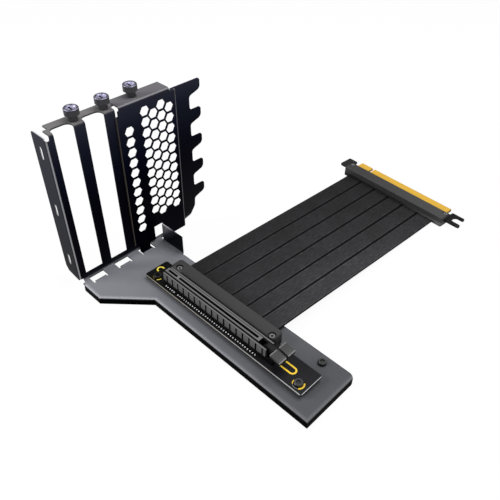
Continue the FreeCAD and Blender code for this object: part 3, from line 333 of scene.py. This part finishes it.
# Matt paper: white to the camera, dimmer in reflections, and it keeps the object's shadow.
def floorMaterial():
    material, tree, shader = newMaterial("pale studio paper")
    tree.nodes.remove(shader)
    rays = addNode(tree, "ShaderNodeLightPath").outputs
    mirrored = addNode(tree, "ShaderNodeMath", {"operation": "MULTIPLY",
                       1: studio["mirrorShare"]}, in0=rays["Is Glossy Ray"])
    seen = addNode(tree, "ShaderNodeMath", {"operation": "MAXIMUM"},
                   in0=rays["Is Camera Ray"], in1=mirrored.outputs[0])
    seenToo = addNode(tree, "ShaderNodeMath", {"operation": "MAXIMUM"},
                      in0=seen.outputs[0], in1=rays["Is Transmission Ray"])
    share = addNode(tree, "ShaderNodeMath", {"operation": "MULTIPLY", 1: studio["glowShare"]},
                    in0=seenToo.outputs[0])
    paper = addNode(tree, "ShaderNodeBsdfDiffuse", {"Color": hexColor("#9a9a9a")})
    glow = addNode(tree, "ShaderNodeEmission", {"Color": hexColor("#ffffff"),
                   "Strength": studio["floorGlow"]})
    mixed = addNode(tree, "ShaderNodeMixShader", in0=share.outputs[0],
                    in1=paper.outputs[0], in2=glow.outputs[0])
    tree.links.new(mixed.outputs[0], tree.nodes["Material Output"].inputs["Surface"])
    return material


bm = bmesh.new()
bmesh.ops.create_grid(bm, x_segments=1, y_segments=1, size=studio["floorSize"] / 2)
bmesh.ops.translate(bm, vec=(0, 0, studio["floorLevel"]), verts=bm.verts)
floorMesh = bpy.data.meshes.new("floor")
bm.to_mesh(floorMesh)
bm.free()
floorMesh.materials.append(floorMaterial())
floor = bpy.data.objects.new("floor", floorMesh)
bpy.context.scene.collection.objects.link(floor)

world = bpy.data.worlds.new("studio")
bpy.context.scene.world = world
world.use_nodes = True
sky = world.node_tree
dimSky = sky.nodes["Background"]
dimSky.inputs["Color"].default_value = hexColor("#ffffff")
dimSky.inputs["Strength"].default_value = studio["worldLevel"]
whiteSky = addNode(sky, "ShaderNodeBackground", {"Color": hexColor("#ffffff"), "Strength": 1.0})
skyRays = addNode(sky, "ShaderNodeLightPath")
skySeen = addNode(sky, "ShaderNodeMixShader", in0=skyRays.outputs["Is Camera Ray"],
                  in1=dimSky.outputs[0], in2=whiteSky.outputs[0])
sky.links.new(skySeen.outputs[0], sky.nodes["World Output"].inputs["Surface"])

for name, (place, target, size, power) in studio["lamps"].items():
    lampData = bpy.data.lights.new(name, "AREA")
    lampData.shape = "SQUARE"
    lampData.size = size
    lampData.energy = power
    lamp = bpy.data.objects.new(name, lampData)
    lamp.location = place
    lamp.rotation_euler = (Vector(place) - Vector(target)).to_track_quat("Z", "Y").to_euler()
    bpy.context.scene.collection.objects.link(lamp)
print("studio lit")

# Places in mm that the finishes need, read from the CAD pieces.
panelTop = max(corner[2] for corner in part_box("vent_panel")) / mm
screwLow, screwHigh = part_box("base_screw")
baseScrewAt = [(screwLow[i] + screwHigh[i]) / 2 / mm for i in (0, 1)]
print("panel top at %.2f mm, base screw at %.2f, %.2f mm" % (panelTop, *baseScrewAt))

# Painted shade on the coat's upright faces: blue black, painted paler toward the light at the top,
# by height in mm.
uprightShadeStops = [(60.0, "#020111"), (73.0, "#04061a"), (80.0, "#0a0d20"), (87.0, "#111527"),
            (93.0, "#15192b"), (100.0, "#1d2032"), (108.0, "#2c2f40")]

# The base plate's front outline in mm: a slanted waist between two straight runs, and a side.
baseOutline = {"slant": (-0.6811, 0.7322, 0), "slantAt": -2.07, "waistAt": -33.15,
               "frontAt": -57.8, "sideAt": 95.9}


# Powder coat on folded steel, one coat under painted light: flats painted grey as lit, painted
# highlights on the folds, and painted shade that takes the uprights near black.
def frameMaterial():
    material, tree, shader = newMaterial("satin powder coat on folded steel")
    where, at = placeOf(tree)
    # Painted light by height on the plate: the rim near black as shade, a painted highlight on the
    # fold, the flat grey as lit and the foot of the upright in shade.
    lower = toneAlong(tree, at["Z"], [
        (0.0, "#020203"), (3.6, "#030304"), (4.1, "#1c1c20"), (4.6, "#606167"), (4.95, "#85868c"),
        (5.6, "#85868c"), (7.0, "#101120"), (9.0, "#020214")])
    # Painted shade up the upright, painted paler toward the top, and the top flange grey as lit.
    upper = toneAlong(tree, at["Z"], [
        (50.0, "#01010e"), *uprightShadeStops, (113.2, "#333543"), (113.7, "#727070"), (115.0, "#727070")])
    tone = paintOver(tree, lower, upper, (at["Z"], 9.0, 10.0))

    # Painted highlight along the base plate's front fold, by the distance in from its outline.
    flat = addNode(tree, "ShaderNodeCombineXYZ", X=at["X"], Y=at["Y"])
    slant = addNode(tree, "ShaderNodeVectorMath", {"operation": "DOT_PRODUCT",
                    1: baseOutline["slant"]}, in0=flat.outputs[0])
    inset, *others = [
        addNode(tree, "ShaderNodeMath", {"operation": "MULTIPLY_ADD", 1: sign,
                2: -sign * baseOutline[line]}, in0=source).outputs[0]
        for source, sign, line in ((slant.outputs["Value"], 1.0, "slantAt"),
                                   (at["Y"], 1.0, "waistAt"), (at["Y"], 1.0, "frontAt"),
                                   (at["X"], -1.0, "sideAt"))]
    for choice, other in zip(("MAXIMUM", "MINIMUM", "MINIMUM"), others):
        inset = addNode(tree, "ShaderNodeMath", {"operation": choice}, in0=inset,
                        in1=other).outputs[0]
    foldHighlight = toneAlong(tree, at["Z"], [
        (4.0, "#6c6d72"), (4.4, "#dadae0"), (5.0, "#9c9da3"), (5.2, "#9c9da3")])
    tone = paintOver(tree, tone, foldHighlight, (inset, 0.4, 0.9), (inset, 2.9, 1.6),
                     (at["Z"], 5.6, 5.2), (at["X"], -76.5, -75.5))

    # Painted light falloff: all of it darker away from the upright.
    along = toneAlong(tree, at["X"], [(-90.0, "#ffffff"), (0.0, "#cecece"), (90.0, "#a3a3a3")])
    tone = paintOver(tree, tone, along, way="MULTIPLY")

    # Painted shade on the side flange's outer face, darker toward the bottom, a painted highlight
    # along its fold, and painted light fading to shade on the tab at the back of the base.
    sideShade = toneAlong(tree, at["Z"], [(5.0, "#04050f"), (60.0, "#161826"), (112.0, "#2c2f3a")])
    tone = paintOver(tree, tone, sideShade, (at["Y"], -56.7, -57.1), (at["Z"], 5.0, 6.5))
    # Painted highlight along the fold between the side flange and the upright.
    tone = paintOver(tree, tone, "#cacad0", (at["Y"], -56.7, -56.9), (at["Y"], -57.6, -57.4),
                     (at["Z"], 5.0, 7.0))
    # Painted light on the tab, fading into painted shade.
    slope = addNode(tree, "ShaderNodeMath", {"operation": "SUBTRACT"}, in0=at["X"], in1=at["Z"])
    tabLightAndShade = toneAlong(tree, slope.outputs[0], [
        (-96.0, "#b4b4ba"), (-89.0, "#a0a0a8"), (-84.0, "#3c3d48"), (-78.0, "#04050e")])
    tone = paintOver(tree, tone, tabLightAndShade, (at["Y"], 8.8, 9.1), (at["Y"], 11.0, 10.6),
                     (at["Z"], 6.0, 8.0))

    # Gloss by height: little under the plate, most on it, and about half on the uprights.
    foot, upright = [
        addNode(tree, "ShaderNodeMapRange", {"From Min": low, "From Max": high, "To Min": start,
                "To Max": end}, Value=at["Z"]).outputs["Result"]
        for low, high, start, end in ((3.8, 4.4, 0.01, 0.12), (6.0, 12.0, 1.0, 0.55))]
    gloss = addNode(tree, "ShaderNodeMath", {"operation": "MULTIPLY"}, in0=foot, in1=upright)
    finishSurface(tree, shader, where, tone, "coat", roughness=0.42, specular=gloss.outputs[0],
                  relief=0.1)
    return material


# The same coat on the punched panel with the same painted shade, the top flange grey as lit,
# painted highlights on its top fold and both ends, and a painted shadow past its right fold.
def panelMaterial():
    material, tree, shader = newMaterial("satin powder coat on punched panel")
    where, at = placeOf(tree)
    # Painted shade by height, and the top flange painted grey as lit.
    tone = toneAlong(tree, at["Z"], [
        (40.0, "#01010c"), *uprightShadeStops, (panelTop - 0.9, "#333543"), (panelTop - 0.4, "#6a686c"),
        (panelTop + 1.0, "#6a686c")])
    # Painted highlight along the top fold.
    tone = paintOver(tree, tone, "#949296", (at["Z"], panelTop - 1.0, panelTop - 0.7),
                     (at["Z"], panelTop - 0.1, panelTop - 0.3))
    # Painted highlight on the right fold, then a painted shadow past it.
    edge = toneAlong(tree, at["Y"], [
        (32.6, "#14151f"), (33.0, "#808084"), (33.5, "#6a6a70"), (33.8, "#020206"),
        (35.0, "#020206")])
    belowFold = (at["Z"], panelTop - 0.4, panelTop - 0.8)
    tone = paintOver(tree, tone, edge, belowFold, (at["Y"], 32.5, 32.7))
    # Painted highlight along the left cut end.
    tone = paintOver(tree, tone, "#5e5852", belowFold, (at["Y"], -11.8, -12.0))
    finishSurface(tree, shader, where, tone, "coat", roughness=0.42, specular=0.03, relief=0.1)
    return material


# Black solder mask over woven laminate: satin, with the pale cut edges of the board and a painted
# highlight along their top.
def boardMaterial():
    material, tree, shader = newMaterial("black solder mask on laminate")
    where, at = placeOf(tree)
    tone = toneAlong(tree, at["X"], [(-52.0, "#0d0d0d"), (83.0, "#1b1b1e")])
    cutEdgeAndHighlight = toneAlong(tree, at["X"], [(-52.0, "#989284"), (0.0, "#aaa69e"), (83.0, "#c4c4c4")])
    # Pale cut laminate with a painted highlight: only the top of the front and far edges, paler
    # away from the upright.
    for cutFace in ((at["Y"], -24.45, -24.6), (at["X"], 83.45, 83.6)):
        tone = paintOver(tree, tone, cutEdgeAndHighlight, (at["Z"], 8.2, 8.5), cutFace)
    finishSurface(tree, shader, where, tone, "mask", roughness=0.42, specular=0.15, relief=0.05)
    return material


# Turned thumb screws: dark zinc, streaky, with the upward faces painted as lit and a painted
# lavender highlight across each dished top. The third stands on the punched panel, 1 mm higher.
# The streaks are 2 mm apart, as coarse as it needs to show.
def thumbMaterial():
    material, tree, shader = newMaterial("black zinc on turned steel")
    where, at = placeOf(tree)
    higher = addNode(tree, "ShaderNodeMapRange", {"From Min": -6.0, "From Max": -5.9},
                     Value=at["Y"])
    level = addNode(tree, "ShaderNodeMath", {"operation": "SUBTRACT"}, in0=at["Z"],
                    in1=higher.outputs["Result"])
    # Painted light by height: paler up the side, and a painted lavender highlight across the
    # dished top.
    tone = toneAlong(tree, level.outputs[0], [
        (114.0, "#47464b"), (119.6, "#504f55"), (120.6, "#504f55"), (121.0, "#8e8ba8"),
        (121.3, "#cac6ea"), (121.8, "#a4a1c0"), (121.95, "#66646e"), (122.3, "#66646e")])
    streak = addNode(tree, "ShaderNodeTexWave", {"Scale": 160.0, "Distortion": 7.0, "Detail": 2.0},
                     Vector=where)
    soft = addNode(tree, "ShaderNodeMapRange", {"To Min": 0.55, "To Max": 1.1},
                   Value=streak.outputs["Fac"])
    tone = paintOver(tree, tone, soft.outputs["Result"], way="MULTIPLY")
    # Faces that don't face up keep one dark side tone as shade; upward faces are painted as lit.
    facing = addNode(tree, "ShaderNodeNewGeometry")
    normal = addNode(tree, "ShaderNodeSeparateXYZ", Vector=facing.outputs["Normal"])
    tone = paintOver(tree, "#504f54", tone, (normal.outputs["Z"], 0.15, 0.4))
    finishSurface(tree, shader, where, tone, "turned", roughness=0.4, specular=0.4, relief=0.08,
                  metallic=0.4)
    return material


# Small screws: black oxide, with the head's top, which is at level, painted pale as lit over sides
# painted dark as shade. The one nearer the upright may have a top of its own tone.
def screwMaterial(name, level, top, side="#161618", nearTop=None, socketAt=None,
                  socketShade="#303030"):
    material, tree, shader = newMaterial(name)
    where, at = placeOf(tree)
    # Painted light by height: dark sides as shade, a pale top as lit.
    ends = [toneAlong(tree, at["Z"], [(level - 1.0, side), (level - 0.6, side),
                                      (level - 0.35, cap), (level + 0.1, cap)])
            for cap in (nearTop or top, top)]
    tone = paintOver(tree, *ends, (at["X"], -10.0, 10.0))
    # Painted shade in the socket of the head.
    if socketAt:
        away = planDistance(tree, at, *socketAt)
        tone = paintOver(tree, tone, socketShade, (away, 1.35, 1.2))
    finishSurface(tree, shader, where, tone, "mask", roughness=0.38, specular=0.3, relief=0.06,
                  metallic=0.3)
    return material


# Latch nylon: finger pads with painted highlights on both ends over a dark lever. The brushing on
# the pads is drawn 1.3 mm apart, as coarse as it needs to show.
def latchMaterial():
    material, tree, shader = newMaterial("moulded latch nylon")
    where, at = placeOf(tree)
    # Painted highlights on both ends of the pads.
    pads = toneAlong(tree, at["X"], [
        (59.5, "#8e8e8e"), (60.1, "#5c5c5c"), (60.6, "#343434"), (64.6, "#3c3c3c"),
        (66.4, "#484848"), (66.8, "#808080"), (67.2, "#8c8c8c")])
    brushed = addNode(tree, "ShaderNodeTexWave", {"Scale": 240.0, "Distortion": 3.0,
                      "Detail": 2.0, "bands_direction": "Y"}, Vector=where)
    soft = addNode(tree, "ShaderNodeMapRange", {"To Min": 0.8, "To Max": 1.15},
                   Value=brushed.outputs["Fac"])
    pads = paintOver(tree, pads, soft.outputs["Result"], way="MULTIPLY")
    tilt = addNode(tree, "ShaderNodeMath", {"operation": "MULTIPLY_ADD", 1: 0.16, 2: -9.5},
                   in0=at["X"])
    level = addNode(tree, "ShaderNodeMath", {"operation": "ADD"}, in0=at["Z"],
                    in1=tilt.outputs[0])
    tone = paintOver(tree, "#181818", pads, (level.outputs[0], 21.2, 21.5))
    finishSurface(tree, shader, where, tone, "mask", roughness=0.4, specular=0.25, relief=0.12)
    return material


# Moulded plastic: a satin spark eroded grain, a tone along the part, and screw wells painted dark
# as shade.
def mouldedMaterial(name, stops, shadedWells=(), rim=0.0):
    material, tree, shader = newMaterial(name)
    where, at = placeOf(tree)
    tone = toneAlong(tree, at["X"], stops)
    # Painted shade in the screw wells.
    for well in shadedWells:
        away = planDistance(tree, at, *well)
        tone = paintOver(tree, tone, "#060606", (away, rim + 0.35, rim + 0.15))
    finishSurface(tree, shader, where, tone, "moulded", roughness=0.45, specular=0.2, relief=0.12)
    return material


# Plated metal: one tone with a soft sheen and a fine drawn grain.
def platedMaterial(name, code, roughness=0.3, metallic=1.0):
    material, tree, shader = newMaterial(name)
    where = addNode(tree, "ShaderNodeTexCoord").outputs["Object"]
    finishSurface(tree, shader, where, code, "plated", roughness=roughness, specular=0.5,
                  relief=0.05, metallic=metallic)
    return material


# Edge board: bare amber laminate between the pads, black mask on the ear and the fork.
def edgeBoardMaterial():
    material, tree, shader = newMaterial("bare laminate and black mask")
    where, at = placeOf(tree)
    tone = toneAlong(tree, at["X"], [
        (-50.0, "#242424"), (55.0, "#121212"), (66.0, "#141414"), (68.0, "#262624")])
    tone = paintOver(tree, tone, "#c0983a", (at["X"], -36.8, -36.4), (at["X"], 54.2, 53.8))
    finishSurface(tree, shader, where, tone, "moulded", roughness=0.45, specular=0.2, relief=0.1)
    return material


# The socket's middle line and the grooves between its side panels, in mm.
socket = {"middle": -17.65, "firstGroove": -32.8, "pitch": 5.27}


# Socket nylon: pale ridges and side panels, a near black foot, and painted shade that takes the
# grooves, slits and walls below the ridge tops near black.
def socketMaterial():
    material, tree, shader = newMaterial("moulded glass filled nylon")
    where, at = placeOf(tree)
    off = addNode(tree, "ShaderNodeMath", {"operation": "ADD", 1: -socket["middle"]}, in0=at["Y"])
    away = addNode(tree, "ShaderNodeMath", {"operation": "ABSOLUTE"},
                   in0=off.outputs[0]).outputs[0]
    # Painted shade on the inner walls below the ridge tops.
    inner = toneAlong(tree, at["Z"], [
        (9.0, "#040404"), (18.4, "#060606"), (18.9, "#404040"), (19.3, "#6c6c6c"),
        (19.5, "#707070")])
    # The side panels over a near black foot, with a painted shade line under the shoulder.
    outer = toneAlong(tree, at["Z"], [
        (9.0, "#080808"), (12.4, "#0c0c0c"), (12.9, "#606060"), (17.8, "#727272"),
        (18.4, "#2a2a2a"), (18.6, "#6c6c6c"), (18.7, "#6c6c6c")])
    tone = paintOver(tree, inner, outer, (away, 2.7, 2.8))
    # Painted shade: a near black band just inside the outer faces, below the shoulder.
    tone = paintOver(tree, tone, "#020202", (away, 3.72, 3.68), (away, 3.0, 3.05),
                     (at["Z"], 18.4, 18.3))
    along = addNode(tree, "ShaderNodeMath", {  # four pitches more, so that it stays above zero
        "operation": "ADD", 1: 4 * socket["pitch"] - socket["firstGroove"]}, in0=at["X"])
    groove = addNode(tree, "ShaderNodeMath", {"operation": "PINGPONG", 1: socket["pitch"] / 2},
                     in0=along.outputs[0]).outputs[0]
    # Painted shade in the slits between the side panels.
    tone = paintOver(tree, tone, "#030303", (groove, 0.75, 0.6), (away, 3.6, 3.7),
                     (at["Z"], 12.4, 12.6), (at["Z"], 18.4, 18.3),
                     (at["X"], -34.5, -34.4), (at["X"], 52.8, 52.6))
    finishSurface(tree, shader, where, tone, "moulded", roughness=0.45, specular=0.2, relief=0.12)
    return material


# Each CAD piece's finish, given through its slots. A screw's number is its head's top in mm.
finishes = {
    "slot_frame": frameMaterial(),
    "vent_panel": panelMaterial(),
    "thumb_screws": thumbMaterial(),
    "board_screws": screwMaterial("black oxide on board screws", 10.9, "#444446",
                                  side="#060606", nearTop="#242424", socketAt=(77.7, -19.7)),
    "base_screw": screwMaterial("black oxide on the base screw", 7.2, "#484a4a", side="#040404",
                                socketAt=baseScrewAt, socketShade="#3c3c3c"),
    "clamp_screws": screwMaterial("black oxide on clamp screws", 13.0, "#8a8a8c"),
    "plug_screws": screwMaterial("black oxide on plug screws", 7.7, "#8c8c8e"),
    "board_spacers": platedMaterial("nickel plate on spacers", "#5c5c5e", 0.35),
    "riser_board": boardMaterial(),
    "plug_board": edgeBoardMaterial(),
    "socket_housing": socketMaterial(),
    "front_contacts": platedMaterial("gold flash on front springs", "#c89b3c"),
    "rear_contacts": platedMaterial("gold flash on rear springs", "#cca040"),
    "card_latch": latchMaterial(),
    "clamp_base": mouldedMaterial("moulded clamp bar", [(-45.0, "#1e1e1e"), (50.0, "#262626")]),
    "clamp_cover": mouldedMaterial("moulded clamp cover", [(-45.0, "#3e3e3e"), (50.0, "#3e3e3e")],
                                   shadedWells=((-37.5, -7.0), (46.2, -7.0)), rim=2.25),
    # Painted light on the lower shell: dark at the end toward the upright, painted paler toward
    # the other end, and that end's face painted in shade.
    "plug_lower_shell": mouldedMaterial("moulded lower plug shell", [
        (-40.0, "#1c1c1c"), (20.0, "#343434"), (50.0, "#6c6c6c"), (56.6, "#787878"),
        (57.2, "#0c0c0c"), (70.0, "#0c0c0c")]),
    "plug_upper_shell": mouldedMaterial("moulded upper plug shell", [
        (-40.0, "#3c3c3c"), (57.0, "#4a4a4a")],
        shadedWells=((54.88, 180.95), (-37.3, 187.24)), rim=1.83),
}
for node, finish in finishes.items():
    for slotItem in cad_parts[node].material_slots:
        slotItem.link = "OBJECT"
        slotItem.material = finish
print("finishes given")

# Printed marks on the riser board: thin raised ink, laid as runs and bends in mm. Near and far
# are from the upright. The keyway is x, y, its run and its bend's radius, and the near bend and
# the rings are x, y and a radius. An arc is its ring, stroke, begin and sweep in degrees.
marks = {"ink": 0.06, "level": 8.99, "stroke": 1.05, "bendStep": 12,
         "keyway": (61.4, -17.44, 8.0, 2.25),
         "nearBend": (-48.9, -14.4, 2.2), "nearRun": 1.0, "nearTail": 0.4, "nearStroke": 1.0,
         "farRing": (77.7, -19.7, 3.4), "nearRing": (-44.6, -20.2, 3.1),
         "yellowArcs": (("farRing", 0.9, -52, 98), ("farRing", 0.5, 175, 48),
                        ("nearRing", 0.6, 305, 60)),
         "dimArcs": (("nearRing", 0.55, 165, 100),),
         "bareArcs": (("farRing", 0.3, 232, 72),)}


def layMark(bm, start, heading, stroke, steps):
    ahead = Vector((math.cos(math.radians(heading)), math.sin(math.radians(heading)), 0))
    left = Vector((-ahead.y, ahead.x, 0))
    at = Vector((*start, marks["level"])) * mm
    up = Vector((0, 0, marks["ink"])) * mm
    wing = left * (stroke / 2 * mm)
    face = bm.faces.new([bm.verts.new(p)
                         for p in (at - wing, at + wing, at + wing + up, at - wing + up)])
    for kind, *amounts in steps:
        if kind == "run":
            moved = bmesh.ops.extrude_face_region(bm, geom=[face])["geom"]
            shift = ahead * (amounts[0] * mm)
            bmesh.ops.translate(bm, vec=shift, verts=onlyKind(moved, bmesh.types.BMVert))
            at = at + shift
        else:
            radius, angle = amounts[0] * mm, math.radians(amounts[1])
            centre = at + left * (radius if angle > 0 else -radius)
            moved = bmesh.ops.spin(
                bm, geom=[face], cent=centre, axis=(0, 0, 1), angle=angle,
                steps=max(4, int(abs(amounts[1]) / marks["bendStep"])))["geom_last"]
            spinner = Matrix.Rotation(angle, 3, "Z")
            at = centre + spinner @ (at - centre)
            ahead, left = spinner @ ahead, spinner @ left
        face = onlyKind(moved, bmesh.types.BMFace)[0]


def ringArc(bm, ring, stroke, begin, sweep):
    x, y, radius = marks[ring]
    angle = math.radians(begin)
    layMark(bm, (x + radius * math.cos(angle), y + radius * math.sin(angle)), begin + 90, stroke,
            [("bend", radius, sweep)])


# Screen printed ink: flat and satin, a little deeper away from the upright.
def inkMaterial(name, near, far):
    material, tree, shader = newMaterial(name)
    where, at = placeOf(tree)
    tone = toneAlong(tree, at["X"], [(-50.0, near), (60.0, far), (82.0, far)])
    finishSurface(tree, shader, where, tone, "plated", roughness=0.5, specular=0.3, relief=0.05)
    return material


yellowInk = inkMaterial("screen printed yellow ink", "#f6e456", "#fad23c")
# A dimmer yellow for the arcs on one side of the near ring.
dullInk = inkMaterial("dim yellow ink", "#6c6024", "#5a501e")
padTin = platedMaterial("tinned pad edge", "#9a9a96", 0.35, 0.2)
bm = bmesh.new()
x, y, run, bend = marks["keyway"]
layMark(bm, (x, y), 0, marks["stroke"], [("run", run), ("bend", bend, 180), ("run", run)])
x, y, bend = marks["nearBend"]
layMark(bm, (x + marks["nearRun"], y + bend), 180, marks["nearStroke"],
        [("run", marks["nearRun"]), ("bend", bend, 180), ("run", marks["nearTail"])])
for arc in marks["yellowArcs"]:
    ringArc(bm, *arc)
finishPiece(bm, "yellowMarks", yellowInk, smooth=False)
for name, arcs, material in (("dimMarks", "dimArcs", dullInk),
                             ("barePadEdge", "bareArcs", padTin)):
    bm = bmesh.new()
    for arc in marks[arcs]:
        ringArc(bm, *arc)
    finishPiece(bm, name, material, smooth=False)

# Solder joints beside the socket: small domes in two runs, in mm, painted pure white as a painted
# highlight on the tin.
joints = {"row": -22.1, "level": 9.0, "pitch": 2.02, "runs": ((-33.7, 5), (-21.9, 35)),
          "radius": 0.5, "tall": 0.42, "sunk": 0.02, "shoulderOut": 0.75, "shoulderUp": 0.7,
          "sides": 8}
domeProfile = [(joints["radius"], -joints["sunk"]),
               (joints["radius"] * joints["shoulderOut"], joints["tall"] * joints["shoulderUp"]),
               (0.0, joints["tall"])]
bm = bmesh.new()
for first, count in joints["runs"]:
    for number in range(count):
        centre = Vector((first + joints["pitch"] * number, joints["row"], joints["level"])) * mm
        ends = [bm.verts.new(centre + Vector((r * mm, 0, z * mm))) for r, z in domeProfile]
        edges = [bm.edges.new(pair) for pair in zip(ends, ends[1:])]
        bmesh.ops.spin(bm, geom=ends + edges, cent=centre, axis=(0, 0, 1), angle=math.tau,
                       steps=joints["sides"], use_merge=True)
finishPiece(bm, "solderJoints", platedMaterial("tin solder", "#ffffff", 0.35, 0.0))

# Gold pads on both faces of the card edge, in mm in the plug's own turned frame.
# A run is its first pad and its count; a level is a face's height and the way it looks.
pads = {"wide": 0.9, "pitch": 1.0, "from": 5.2, "to": 14.2, "high": 0.05, "sunk": 0.01,
        "runs": ((-44.25, 11), (-30.65, 75)), "levels": ((5.0, 1), (3.4, -1))}
padSize = (pads["wide"] * mm, (pads["to"] - pads["from"]) * mm, 1)
plugPlace = (Matrix.Translation((ribbon["plugAway"] * mm, ribbon["plugAcross"] * mm, 0))
             @ Matrix.Rotation(math.radians(-ribbon["plugTurn"]), 4, "Z"))
bm = bmesh.new()
for level, way in pads["levels"]:
    for first, count in pads["runs"]:
        for number in range(count):
            centre = Vector((first + pads["pitch"] * number, (pads["to"] + pads["from"]) / 2,
                             level - pads["sunk"] * way)) * mm
            grown = bmesh.ops.create_grid(bm, x_segments=1, y_segments=1, size=0.5)["verts"]
            bmesh.ops.scale(bm, vec=padSize, verts=grown)
            bmesh.ops.translate(bm, vec=centre, verts=grown)
            raised = bmesh.ops.extrude_face_region(bm, geom=[grown[0].link_faces[0]])["geom"]
            bmesh.ops.translate(bm, vec=(0, 0, pads["high"] * way * mm),
                                verts=onlyKind(raised, bmesh.types.BMVert))
bmesh.ops.transform(bm, matrix=plugPlace, verts=bm.verts)
padGold = platedMaterial("gold plate on edge pads", "#f4c244", 0.42, 0.25)
padPiece = finishPiece(bm, "goldPads", padGold, smooth=False)
print("marks, joints and pads laid")
